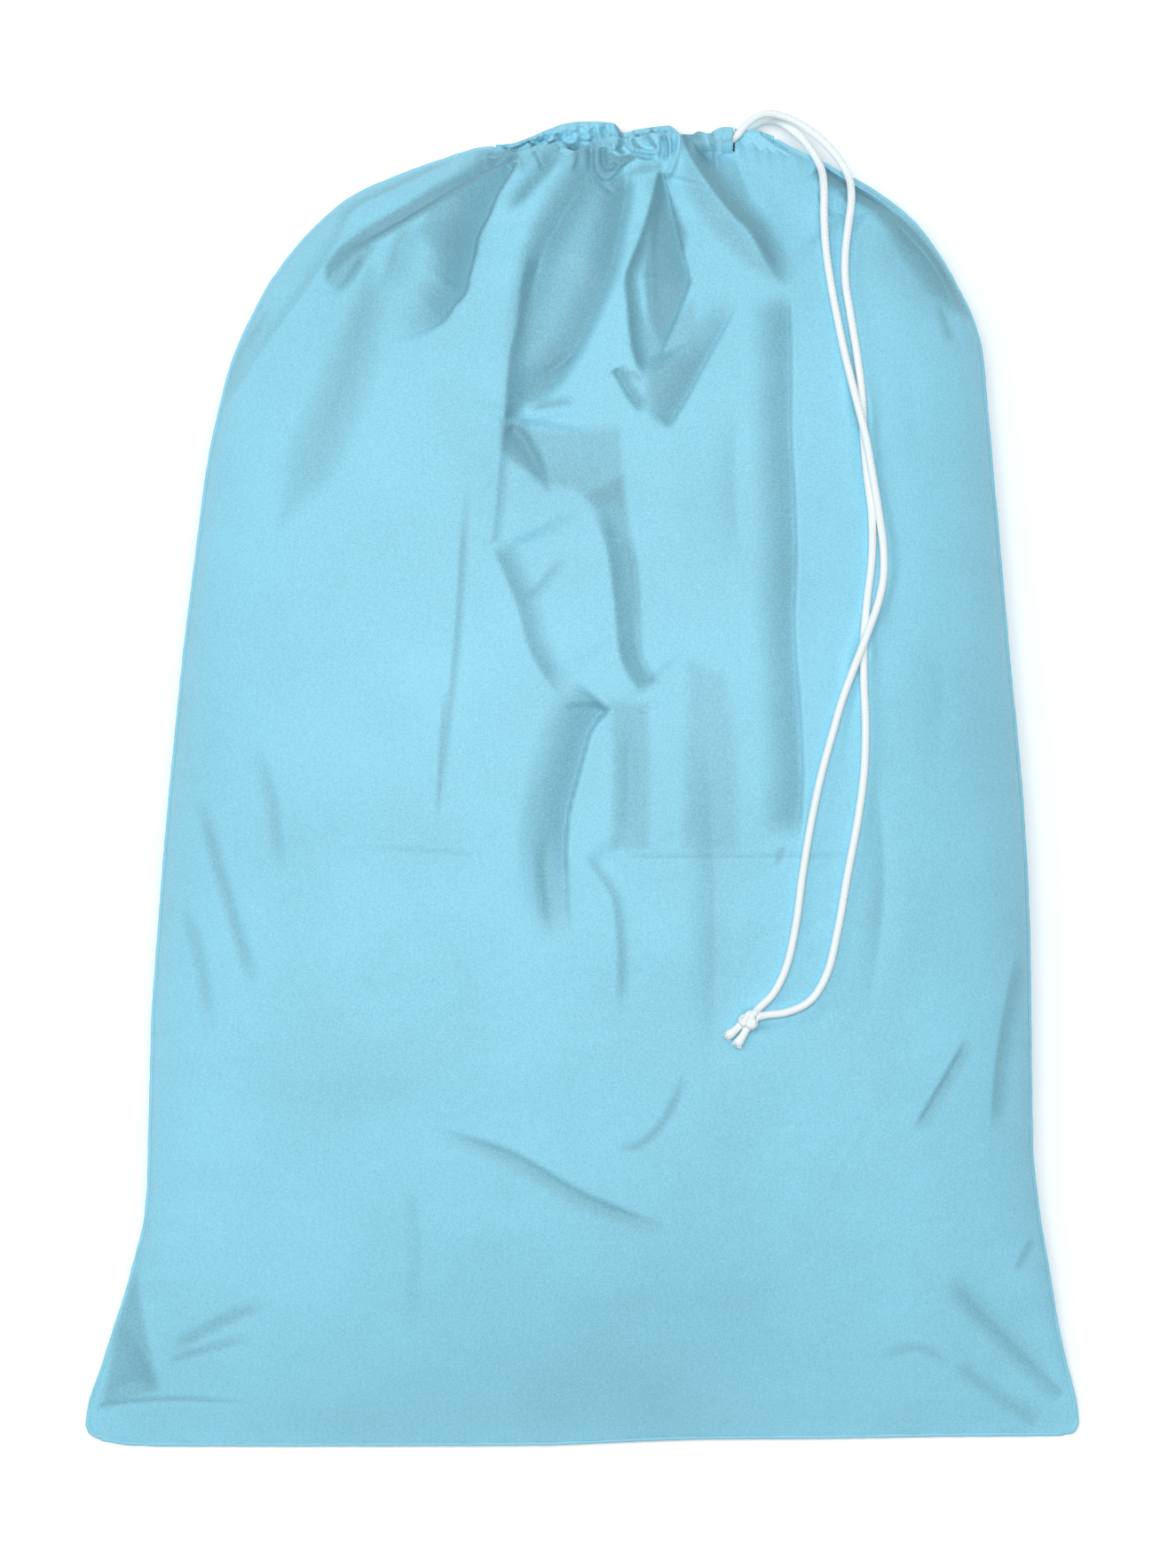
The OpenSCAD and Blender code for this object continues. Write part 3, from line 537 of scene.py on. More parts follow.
ST = [(-405, -298, 300, .065, 0), (-396, -305, 305, .10, .10), (-380, -304, 304, .20, .22), (-350, -295, 298, .40, .39),
      (-315, -283, 291, .60, .54), (-280, -273, 285, .75, .66), (-240, -269, 281, .86, .76), (-180, -268, 279, .95, .87),
      (-100, -263, 278, 1, .95), (-20, -257, 274, 1, 1), (60, -250, 267, 1, .99), (130, -241, 260, .97, .95),
      (200, -231, 254, .92, .88), (250, -220, 250, .87, .81), (280, -208, 245, .83, .75), (305, -196, 233, .78, .68),
      (330, -178, 219, .72, .61), (350, -158, 203, .67, .54), (364, -136, 183, .62, .48), (373, -112, 168, .59, .43),
      (380, -78, 140, .57, .39), (385, -46, 90, .55, .358)]
_S = np.array(ST, float)


def cad_front(x, y):
    """Top of the CAD front panel, which the cords' CAD solids lie on."""
    l, r = np.interp(y, _S[:, 0], _S[:, 1]), np.interp(y, _S[:, 0], _S[:, 2])
    z0, z1 = np.interp(y, _S[:, 0], _S[:, 3] * 40), np.interp(y, _S[:, 0], _S[:, 4] * 120)
    return z0 + (z1 - z0) * crown((2 * x - l - r) / (r - l))


CORD_D = 5.0
CORD_R = CORD_D / 2
LAY = CORD_R + 0.6


def route(arch, lay):
    return [tuple(map(float, p)) for p in arch] + [(x, y, float(cad_front(x, y)) + LAY + up) for x, y, up in lay]


ROUTE_L, ROUTE_R = route(ARCH_L, LAY_L), route(ARCH_R, LAY_R)
KNOT = np.array([102.0, -146.0, float(cad_front(102.0, -146.0)) + 6.75])


def frames_along(C):
    T = np.gradient(C, axis=0)
    T /= np.linalg.norm(T, axis=1)[:, None]
    U = np.zeros_like(C)
    u = np.cross(T[0], [0, 0, 1.0])
    if np.linalg.norm(u) < 1e-3:
        u = np.cross(T[0], [1.0, 0, 0])
    u /= np.linalg.norm(u)
    for i, t in enumerate(T):
        u = u - t * (u @ t)
        u /= np.linalg.norm(u)
        U[i] = u
    return T, U, np.cross(T, U)


def braided_tube(name, C, radius, sides=24, strands=8, pitch=8.5, relief=0.055, uv=True, cap=True):
    """A round braid: two sets of strands wound both ways, over and under each other."""
    C = np.asarray(C, float)
    T, U, V = frames_along(C)
    s = np.r_[0, np.cumsum(np.linalg.norm(np.diff(C, axis=0), axis=1))]
    phi = np.arange(sides) * 2 * math.pi / sides
    R = np.asarray(radius, float) if np.ndim(radius) else np.full(len(C), float(radius))
    ph, ss = np.meshgrid(phi, s)
    h = strands / 2
    a = h * ph + 2 * math.pi * h * ss / pitch
    b = h * ph - 2 * math.pi * h * ss / pitch
    over = np.sin((a + b) / 2 * 1.0) * np.sin((a - b) / 2 * 1.0)
    ridge = np.maximum(np.abs(np.cos(a / 2)) * (0.8 + 0.2 * over), np.abs(np.cos(b / 2)) * (0.8 - 0.2 * over))
    rr = R[:, None] * (1 - relief + relief * ridge)
    P = (C[:, None, :] + rr[..., None] * (np.cos(ph)[..., None] * U[:, None, :] + np.sin(ph)[..., None] * V[:, None, :]))
    n = len(C)
    P = P.reshape(-1, 3)
    i, j = np.meshgrid(np.arange(n - 1), np.arange(sides), indexing="ij")
    k = (j + 1) % sides
    F = np.stack([i * sides + j, (i + 1) * sides + j, (i + 1) * sides + k, i * sides + k], -1).reshape(-1, 4)
    faces = F.tolist()
    if cap:
        P = np.vstack([P, C[0] - T[0] * 0.2, C[-1] + T[-1] * 0.2])
        a0, a1 = n * sides, n * sides + 1
        faces += [[a0, j, (j + 1) % sides] for j in range(sides)]
        faces += [[a1, (n - 1) * sides + (j + 1) % sides, (n - 1) * sides + j] for j in range(sides)]
    o = make_mesh(name, P, faces)
    if uv:
        lay_uv = o.data.uv_layers.new(name="UVMap")
        at = np.zeros((len(o.data.loops), 2), np.float32)
        vi = np.zeros(len(o.data.loops), np.int32)
        o.data.loops.foreach_get("vertex_index", vi)
        ring = np.minimum(vi // sides, n - 1)
        at[:, 0] = (vi % sides) / sides
        at[:, 1] = s[ring] * MM
        lay_uv.data.foreach_set("uv", at.ravel())
    return o


def tidy(C, r):
    """Same curve, evened out a little so that no bend in it is sharp."""
    D = C.copy()
    for _ in range(6):
        D[1:-1] = 0.25 * D[:-2] + 0.5 * D[1:-1] + 0.25 * D[2:]
    return D


path_l = tidy(curve_through(ROUTE_L + [tuple(KNOT + (3.0, 3.2, 1.0))], 0.45), 1)
path_r = tidy(curve_through(ROUTE_R + [tuple(KNOT + (4.6, 1.4, -0.5))], 0.45), 1)
tail_left = braided_tube("cord_tail_left", path_l, CORD_R)
tail_right = braided_tube("cord_tail_right", path_r, CORD_R)

# The run inside the casing: round the left fold, along the front and along the back
run_pts = [(88, 395, 35), (84, 395.4, 35.2), (78, 395.9, 35.5), (70, 395.9, 35.5), (60, 395.1, 35.5), (50, 394.5, 35.4), (42, 393, 34),
           (32, 388, 30), (20, 385, 27.5), (2, 383, 26.5), (-18, 382, 26), (-30, 382, 24), (-36, 382.5, 18), (-32, 384, 11), (-20, 387, 8), (0, 390, 7.6),
           (24, 392, 7.6), (50, 393.5, 8), (74, 394.6, 8.6), (88, 395, 9)]
run = braided_tube("cord_run", curve_through(run_pts, 0.8), CORD_R, sides=16)


# The overhand knot: both tails tied together, pulled tight
def knot_path(scale, turn, flat):
    t = np.linspace(0.42, 2 * math.pi - 0.42, 150)
    x = np.sin(t) + 2 * np.sin(2 * t)
    y = np.cos(t) - 2 * np.cos(2 * t)
    z = -np.sin(3 * t) * flat
    c, s = math.cos(turn), math.sin(turn)
    return np.stack([x * c - y * s, x * s + y * c, z], 1) * scale + KNOT


knot_parts = [knot_path(1.46, 0.55, 1.35), knot_path(1.30, 0.95, -1.25)]
knot_a = braided_tube("knot_a", knot_parts[0], 2.25, sides=20)
knot_b = braided_tube("knot_b", knot_parts[1] + (0.4, -0.5, 0.5), 2.15, sides=20)


def joined(name, objs):
    """One object out of several."""
    vs, fs, at = [], [], 0
    for o in objs:
        m = o.data
        co = np.zeros(len(m.vertices) * 3, np.float64)
        m.vertices.foreach_get("co", co)
        vs.append(co.reshape(-1, 3) / MM)
        fs += [[v + at for v in p.vertices] for p in m.polygons]
        at += len(m.vertices)
        bpy.data.objects.remove(o)
    return make_mesh(name, np.vstack(vs), fs)


knot = joined("cord_knot", [knot_a, knot_b])


# The two cut ends: they widen towards the tip, where the braid has come apart into filaments
def cord_end(name, heading, aside, seed):
    r = np.random.default_rng(seed)
    d = np.array([math.cos(math.radians(heading)), math.sin(math.radians(heading)), -0.05])
    side = np.array([-d[1], d[0], 0])
    start = KNOT + (0, 0, -1.2) + d * 3.2 + side * aside
    n = 34
    t = np.linspace(0, 1, n)
    C = start + d * (t[:, None] * 12.5) + side * (0.7 * np.sin(t * 2.6)[:, None]) + np.array([0, 0, 1.0]) * (-0.6 * t[:, None] ** 2)
    R = 2.4 + 0.75 * smooth01((t - 0.45) / 0.55)
    R[-1] *= 0.86
    body = braided_tube(name + "_body", C, R, sides=28)
    tip, T = C[-1], d
    up = np.array([0, 0, 1.0])
    parts = [body]
    for k in range(54):
        a, q = r.uniform(0, 2 * math.pi), math.sqrt(r.uniform(0, 1)) * 2.7
        off = side * (q * math.cos(a)) + up * (q * math.sin(a))
        ln = r.uniform(1.6, 3.6)
        bend = off * 0.35 + side * r.uniform(-.4, .4) + up * r.uniform(-.35, .2)
        tt = np.linspace(0, 1, 6)[:, None]
        F = tip + off - T * 1.0 + T * (ln * tt) + bend * tt ** 2
        parts.append(braided_tube(f"{name}_f{k}", F, np.array([.30, .30, .29, .26, .22, .12]), sides=6, uv=False))
    return joined(name, parts)


end_left = cord_end("cord_end_left", 221, -1.5, 11)
end_right = cord_end("cord_end_right", 238, 1.5, 12)

# ---------------------------------------------------------------- cloth
n1, n2, n3, n4 = Noise(3), Noise(4), Noise(5), Noise(6)


def wrinkles(x, y):
    """Faint, random softness of thin coated cloth: long shallow waves, short creases and pucker."""
    z = 1.1 * n1(x, y, 95, 1.45, 1.8) + 0.7 * n2(x, y, 52, 1.3, 2.0) + 0.32 * n3(x, y, 24, 1.75, 1.8)
    z += 0.14 * n4(x, y, 11, 0.6, 1.5) + 0.06 * n1(x, y, 5.2, 0.2, 1.4)
    # short sharp creases: where two noises cross zero, only in patches
    c = np.exp(-(n2(x, y, 34, 0.9, 1.7) / 0.05) ** 2) * smooth01((n3(x, y, 60) - 0.15) / 0.4)
    c2 = np.exp(-(n4(x, y, 27, 2.3, 1.9) / 0.05) ** 2) * smooth01((n1(x, y, 48) - 0.2) / 0.4)
    return z + 0.30 * c - 0.26 * c2


def edge_pucker(s, ya, w):
    """Seam pucker: small ripples that run in from the side seams."""
    near = np.exp(-((1 - np.abs(s)) / 0.045))
    return near * w * np.sin(ya / 4.3 + 2.0 * np.sin(ya / 23.0) + np.sign(s) * 1.3)


def under_cords(x, y, z):
    """The cloth bears the cords: it never stands above their underside, and comes up to meet them."""
    pts = np.vstack([path_l[::6], path_r[::6]])
    pts = pts[(pts[:, 1] < 372)]
    order = np.vstack([np.c_[path_l[::6]], np.c_[path_r[::6]]])
    out = z.copy()
    m = (x > 95) & (x < 210) & (y < 400) & (y > -170)
    xi, yi, zi = x[m], y[m], z[m]
    low = np.full(len(xi), 1e9)
    lift_w = np.zeros(len(xi))
    lift_z = np.zeros(len(xi))
    for p in pts:
        d = np.hypot(xi - p[0], yi - p[1])
        cap = p[2] - CORD_R - 0.25 + np.maximum(0, d - 1.5) * 0.45
        near = d < 22
        low[near] = np.minimum(low[near], cap[near])
        w = np.exp(-(d / 6.0) ** 2)
        lift_w += w
        lift_z += w * (p[2] - CORD_R - 0.35)
    has = lift_w > 1e-3
    want = np.where(has, lift_z / np.maximum(lift_w, 1e-9), zi)
    near_w = np.clip(lift_w / 2.0, 0, 1)
    gap = want - zi
    raise_by = np.where((gap > 0) & (gap < 6.0), gap * near_w * smooth01((6.0 - gap) / 3.0), 0) * smooth01((352 - yi) / 30)
    zi = np.minimum(zi + raise_by, low)
    out[m] = zi
    # the knot's seat
    d = np.hypot(x - KNOT[0], y - KNOT[1])
    cap = KNOT[2] - 6.6 + np.maximum(0, d - 3) * 0.35
    out = np.where(d < 30, np.minimum(out, cap), out)
    for h in (217, 229, 242):
        c, s_ = math.cos(math.radians(h)), math.sin(math.radians(h))
        for q in np.arange(5, 21, 1.5):
            dd = np.hypot(x - KNOT[0] - c * q, y - KNOT[1] - s_ * q)
            out = np.where(dd < 20, np.minimum(out, KNOT[2] - 1.2 - 3.6 + np.maximum(0, dd - 2.5) * 0.4), out)
    return out


def front_height(X, Y, S, YA, TAU):
    base = h_seam(YA) + (h_top(YA) - h_seam(YA)) * crown(S)
    folds, painted_shade = fold_height(X, Y, FOLDS)
    rim = smooth01((1 - np.abs(S)) / 0.10)           # folds die out at the side seams
    rim_neck = smooth01((1 - np.abs(S)) / 0.03)
    rim = rim * (1 - smooth01(TAU * 3)) + rim_neck * smooth01(TAU * 3)
    low = smooth01((YA + 405) / 22)                  # and at the bottom seam
    z = base + folds * rim * low
    z += wrinkles(X, Y) * smooth01((1 - np.abs(S)) / 0.2) * smooth01((YA + 400) / 40) * (1 - 0.5 * TAU)
    z += edge_pucker(S, YA, 0.7) * low
    z += 0.35 * np.sin(X / 5.2 + 1.7 * np.sin(X / 31.0)) * np.exp(-(YA + 405) / 14) * smooth01((YA + 405) / 4)
    # fine gathers at the mouth, where the cloth is drawn up on the cord
    g = smooth01((TAU - 0.45) / 0.55)
    z += g * 1.3 * np.sin(X * 0.62 + 1.8 * np.sin(X * 0.11) + 0.06 * (Y - 380)) * smooth01((1 - np.abs(S)) / 0.06)
    return z, painted_shade


def with_uv(o, U, V):
    lay_uv = o.data.uv_layers.new(name="UVMap")
    vi = np.zeros(len(o.data.loops), np.int32)
    o.data.loops.foreach_get("vertex_index", vi)
    at = np.stack([U.ravel()[vi], V.ravel()[vi]], 1).astype(np.float32) * MM
    lay_uv.data.foreach_set("uv", at.ravel())


def add_value(o, name, vals):
    vals = (1 - np.exp(-1.7 * np.asarray(vals, float))) / (1 - math.exp(-1.7))
    a = o.data.attributes.new(name, "FLOAT", "POINT")
    a.data.foreach_set("value", np.asarray(vals, np.float32).ravel())


def thicken(o, mm):
    m = o.modifiers.new("cloth", "SOLIDIFY")
    m.thickness = mm * MM
    m.offset = -1
    m.use_even_offset = False
    bpy.context.view_layer.objects.active = o
    with bpy.context.temp_override(object=o, active_object=o, selected_objects=[o]):
        bpy.ops.object.modifier_apply(modifier=m.name)


def drop_loose(o):
    bm = bmesh.new()
    bm.from_mesh(o.data)
    bmesh.ops.delete(bm, geom=[v for v in bm.verts if not v.link_faces], context="VERTS")
    bm.to_mesh(o.data)
    bm.free()


# Front panel
X, Y, S, YA, TAU = rows_cols(420, 96, 380, F_EDGE)
Z, PAINTED_SHADE = front_height(X, Y, S, YA, TAU)
Z = under_cords(X, Y, Z)
# the drawcord's run lies under the front's hem
hem = smooth01((1 - np.abs(S)) / 0.10) * np.where(Y > 376, 1.0, 0.0)
Z = np.where(hem > 0, np.maximum(Z, 30.6 * hem), Z)
# at the right the casing is a short roll round the cord, which comes out of its end
roll = smooth01((X - 54) / 10) * smooth01((98 - X) / 5)
Z = np.maximum(Z, roll * (39.6 - 0.085 * (Y - 395.5 - 0.06 * (X - 75)) ** 2) + (1 - roll) * -99)
# the mouth edge turns over into a rounded lip, and down inside
cols = X.shape[1]
ex, ey, ez = X[-1].copy(), Y[-1].copy(), Z[-1].copy()
room = smooth01((1 - np.abs(S[-1])) / 0.10)
lip = [(0.9, -0.25), (1.6, -0.8), (2.0, -1.7), (2.1, -2.9), (2.0, -4.6), (1.6, -7.0), (0.9, -9.5), (0.0, -11.5), (-1.2, -13.0)]
for dy, dz in lip:
    X = np.vstack([X, ex]); Y = np.vstack([Y, ey + dy]); Z = np.vstack([Z, ez + dz * room])
    S = np.vstack([S, S[-1]]); TAU = np.vstack([TAU, TAU[-1]]); YA = np.vstack([YA, YA[-1] + 1.2]); PAINTED_SHADE = np.vstack([PAINTED_SHADE, PAINTED_SHADE[-1] * 0.9])
P = seen(np.stack([X.ravel(), Y.ravel(), Z.ravel()], 1))
# the roll's right end is open: the cord comes out there, and more of it does when it is pulled
quads = grid_faces(*X.shape)
at_end = (X[:-1, :-1] > 92.0) & (X[:-1, 1:] < 97.2) & (Y[:-1, :-1] > 389.5)
wall = (np.abs(Z[:-1, :-1] - Z[:-1, 1:]) > 0.35) | (np.abs(Z[1:, :-1] - Z[1:, 1:]) > 0.35)
quads = quads[~(at_end & wall).ravel()]
front = make_mesh("front_cloth", P, quads.tolist())
FX, FY, FZ, FS, FYA, FTAU = X, Y, Z, S, YA, TAU
with_uv(front, S * 305 + 305, YA + 405)
# the painted shade along the folds goes into the cloth's colour through this attribute
add_value(front, "painted_shade", PAINTED_SHADE)
thicken(front, 0.5)
drop_loose(front)

# Back panel: it lies on the floor, turns up to the side seams, and its hem stands up behind the mouth
X, Y, S, YA, TAU = rows_cols(190, 100, 300, B_EDGE)
turn = np.maximum(0, (np.abs(S) - 0.8) / 0.2) ** 2
turn_neck = np.maximum(0, (np.abs(S) - 0.62) / 0.38) ** 2
tk = smooth01(TAU * 1.5)
Z = h_seam(YA) * (turn * (1 - tk) + turn_neck * tk) - 0.0
Z = np.maximum(Z, 0.25)
Z += (0.5 + 0.5 * np.sin(X * 0.31 + np.sin(X * 0.09) * 2)) * 2.2 * smooth01((TAU - 0.1) / 0.6) * (1 - turn_neck)
stand = smooth01((TAU - 0.52) / 0.30) * smooth01((1 - np.abs(S)) / 0.25)
Q = X + 0.030 * (Y - 388) * (X - 4)          # the gathers fan out from the mouth
rip = (0.7 * np.sin(Q * 0.47 + 1.6 * np.sin(Q * 0.16)) + 0.35 * np.sin(Q * 1.02 + 2.1 * np.sin(Q * 0.29 + Y * 0.12))
       + 1.6 * n2(Q, Y, 4.2, 1.2, 1.6) + 1.0 * n3(X, Y, 2.6))
bz, BACK_PAINTED_SHADE = fold_height(X, Y, BACK_FOLDS)
Z = Z * (1 - stand) + stand * (14.0 + 3.0 * smooth01((TAU - 0.80) / 0.20) + rip * (0.55 + 0.45 * TAU) + 0.85 * bz)
BACK_PAINTED_SHADE = BACK_PAINTED_SHADE * stand
cx, cy, cz = X[-1].copy(), Y[-1].copy(), Z[-1].copy()
room = smooth01((1 - np.abs(S[-1])) / 0.15)
for dy, dz in [(0.8, -0.3), (1.4, -0.9), (1.7, -1.9), (1.7, -3.4), (1.4, -5.6), (0.8, -8.2), (0.0, -10.8)]:
    X = np.vstack([X, cx]); Y = np.vstack([Y, cy + dy]); Z = np.vstack([Z, np.maximum(0.8, cz + dz * room)])
    BACK_PAINTED_SHADE = np.vstack([BACK_PAINTED_SHADE, BACK_PAINTED_SHADE[-1] * 0.9])
    S = np.vstack([S, S[-1]]); TAU = np.vstack([TAU, TAU[-1]]); YA = np.vstack([YA, YA[-1] + 1.2])
P = seen(np.stack([X.ravel(), Y.ravel(), Z.ravel()], 1))
back = make_mesh("back_cloth", P, grid_faces(*X.shape)[:, ::-1].tolist())
with_uv(back, S * 305 + 305, YA + 405)
# the painted shade in the back's ruffles, the same way
add_value(back, "painted_shade", BACK_PAINTED_SHADE)
thicken(back, 0.5)

# ---------------------------------------------------------------- seams and stitches


def seam_line(side):
    """The side seam from the bottom corner to the neck."""
    j = 0 if side < 0 else -1
    rows = FTAU.shape[0] - len(lip)
    pts = np.stack([FX[:rows, j], FY[:rows, j], FZ[:rows, j]], 1)
    return seen(pts)


def even(C, step):
    d = np.r_[0, np.cumsum(np.linalg.norm(np.diff(C, axis=0), axis=1))]
    s = np.arange(0, d[-1], step)
    return np.stack([np.interp(s, d, C[:, k]) for k in range(3)], 1)


def welt(name, C, out, wide, high, seed):
    """A sewn edge: a flat rounded ridge of doubled cloth, slightly puckered by its stitches."""
    n = Noise(seed)
    T = np.gradient(C, axis=0)
    T /= np.linalg.norm(T, axis=1)[:, None]
    s = np.r_[0, np.cumsum(np.linalg.norm(np.diff(C, axis=0), axis=1))]
    sides = 12
    phi = np.arange(sides) * 2 * math.pi / sides
    up = np.array([0, 0, 1.0])
    flat = np.cross(T, up)
    flat /= np.maximum(1e-6, np.linalg.norm(flat, axis=1))[:, None]
    vert = np.cross(flat, T)
    ends = smooth01(s / 3.0) * smooth01((s[-1] - s) / 3.0)
    w = wide / 2 * (1 + 0.10 * n(s, 0 * s, 4.0)) * (0.25 + 0.75 * ends)
    h = high / 2 * (1 + 0.22 * np.sin(s / 3.2 * 2 * math.pi) * 0.5 + 0.2 * n(s, 9 + 0 * s, 6.0)) * (0.25 + 0.75 * ends)
    cc, ss = np.cos(phi), np.sin(phi)
    P = (C[:, None, :] + flat[:, None, :] * (w[:, None] * cc)[..., None] + vert[:, None, :] * (h[:, None] * ss)[..., None])
    nrow = len(C)
    P = P.reshape(-1, 3)
    i, j = np.meshgrid(np.arange(nrow - 1), np.arange(sides), indexing="ij")
    k = (j + 1) % sides
    F = np.stack([i * sides + j, i * sides + k, (i + 1) * sides + k, (i + 1) * sides + j], -1).reshape(-1, 4).tolist()
    F.append(list(range(sides))[::-1])
    F.append([(nrow - 1) * sides + q for q in range(sides)])
    return make_mesh(name, P, F)


line_l, line_r = even(seam_line(-1), 1.6), even(seam_line(1), 1.6)
seam_l = welt("side_seam_left_welt", line_l, -1, 3.2, 2.0, 21)
seam_r = welt("side_seam_right_welt", line_r, 1, 3.2, 2.0, 22)
line_b = even(seen(np.stack([FX[0], FY[0], FZ[0] - 0.8], 1)), 1.6)
seam_b = welt("bottom_seam_welt", line_b, 1, 2.6, 2.6, 23)



def surface_at(x, y):
    """Height and slope-free top of the visual front cloth at points x, y (mm), by nearest grid points."""
    rows = FX.shape[0] - len(lip)
    gx, gy, gz = FX[:rows].ravel(), FY[:rows].ravel(), FZ[:rows].ravel()
    q = seen(np.stack([gx, gy, gz], 1))
    out = np.zeros(len(x))
    for i in range(len(x)):
        d = (q[:, 0] - x[i]) ** 2 + (q[:, 1] - y[i]) ** 2
        k = np.argpartition(d, 4)[:4]
        w = 1 / (d[k] + 1e-3)
        out[i] = (q[k, 2] * w).sum() / w.sum()
    return out


def stitches(name, C, length, gap, radius, lift):
    """A row of lockstitches: short rounded threads that dip into the cloth at both ends."""
    C = even(C, 0.5)
    per = length + gap
    d = np.r_[0, np.cumsum(np.linalg.norm(np.diff(C, axis=0), axis=1))]
    at = np.arange(2.0, d[-1] - per, per)
    vs, fs = [], []
    sides, rings = 6, 5
    base = 0
    for a in at:
        q = a + np.linspace(0, length, rings)
        L = np.stack([np.interp(q, d, C[:, k]) for k in range(3)], 1)
        L[:, 2] += lift * np.array([-1.0, .55, 1.0, .55, -1.0])
        T = np.gradient(L, axis=0)
        T /= np.linalg.norm(T, axis=1)[:, None]
        F1 = np.cross(T, [0, 0, 1.0]); F1 /= np.linalg.norm(F1, axis=1)[:, None]
        F2 = np.cross(F1, T)
        ph = np.arange(sides) * 2 * math.pi / sides
        rr = radius * np.array([.55, 1, 1, 1, .55])
        P = L[:, None, :] + rr[:, None, None] * (F1[:, None, :] * np.cos(ph)[None, :, None] + F2[:, None, :] * np.sin(ph)[None, :, None])
        vs.append(P.reshape(-1, 3))
        for i in range(rings - 1):
            for j in range(sides):
                k = (j + 1) % sides
                fs.append([base + i * sides + j, base + i * sides + k, base + (i + 1) * sides + k, base + (i + 1) * sides + j])
        fs.append([base + j for j in range(sides)][::-1])
        fs.append([base + (rings - 1) * sides + j for j in range(sides)])
        base += rings * sides
    return make_mesh(name, np.vstack(vs), fs)


def inset_line(side, mm):
    """A line on the front cloth that runs beside a side seam."""
    rows = FTAU.shape[0] - len(lip)
    out = []
    for i in range(4, rows - 6):
        xr, yr, zr = FX[i], FY[i], FZ[i]
        d = np.abs(xr - (xr[0] if side < 0 else xr[-1]))
        dz = np.abs(zr - (zr[0] if side < 0 else zr[-1]))
        run_ = np.hypot(d, dz)
        idx = np.arange(len(xr)) if side < 0 else np.arange(len(xr))[::-1]
        q = run_[idx]
        k = int(np.argmax(q > mm))
        out.append((xr[idx[k]], yr[idx[k]], zr[idx[k]] + 0.05))
    C = seen(np.array(out))
    for _ in range(8):
        C[1:-1] = (C[:-2] + C[1:-1] * 2 + C[2:]) / 4
    return C


stitch_l = stitches("side_stitches_left", inset_line(-1, 5.0), 2.4, 0.9, 0.22, 0.22)
stitch_r = stitches("side_stitches_right", inset_line(1, 5.0), 2.4, 0.9, 0.22, 0.22)
row_b = int(np.argmin(np.abs(FYA[:, 0] + 397)))
sel = np.abs(FS[row_b]) < 0.985
Cb = seen(np.stack([FX[row_b][sel], FY[row_b][sel], FZ[row_b][sel] + 0.05], 1))
stitch_b = stitches("bottom_stitches", Cb, 2.4, 0.9, 0.22, 0.22)


def tack(name, x, y0, y1, zf, seed):
    """A bar tack: a close zigzag of thread across the end of the hem."""
    r = np.random.default_rng(seed)
    n = 22
    t = np.linspace(0, 1, n)
    parts = []
    pts = []
    for k in range(n):
        pts.append((x + (1.5 if k % 2 else -1.5) + r.uniform(-.1, .1), y0 + (y1 - y0) * t[k]))
    pts = np.array(pts)
    z = zf(pts[:, 0], pts[:, 1])
    C = np.column_stack([pts, blur(z, 2) + 0.25])
    C = curve_through([tuple(p) for p in C], 0.35)
    return braided_tube(name, C, 0.28, sides=8, uv=False)


tack_f = tack("bartack_front_thread", 85.0, 388.5, 399.0, surface_at, 31)
tack_b = tack("bartack_back_thread", 85.0, 388.5, 399.0, lambda x, y: np.full(len(x), 16.4), 32)

# ---------------------------------------------------------------- materials


def new_material(name):
    m = bpy.data.materials.new(name)
    m.use_nodes = True
    nt = m.node_tree
    nt.nodes.clear()
    out = nt.nodes.new("ShaderNodeOutputMaterial")
    p = nt.nodes.new("ShaderNodeBsdfPrincipled")
    nt.links.new(p.outputs["BSDF"], out.inputs["Surface"])
    return m, nt, p


def node(nt, kind, **props):
    n = nt.nodes.new(kind)
    for k, v in props.items():
        if hasattr(n, k):
            setattr(n, k, v)
        else:
            n.inputs[k].default_value = v
    return n


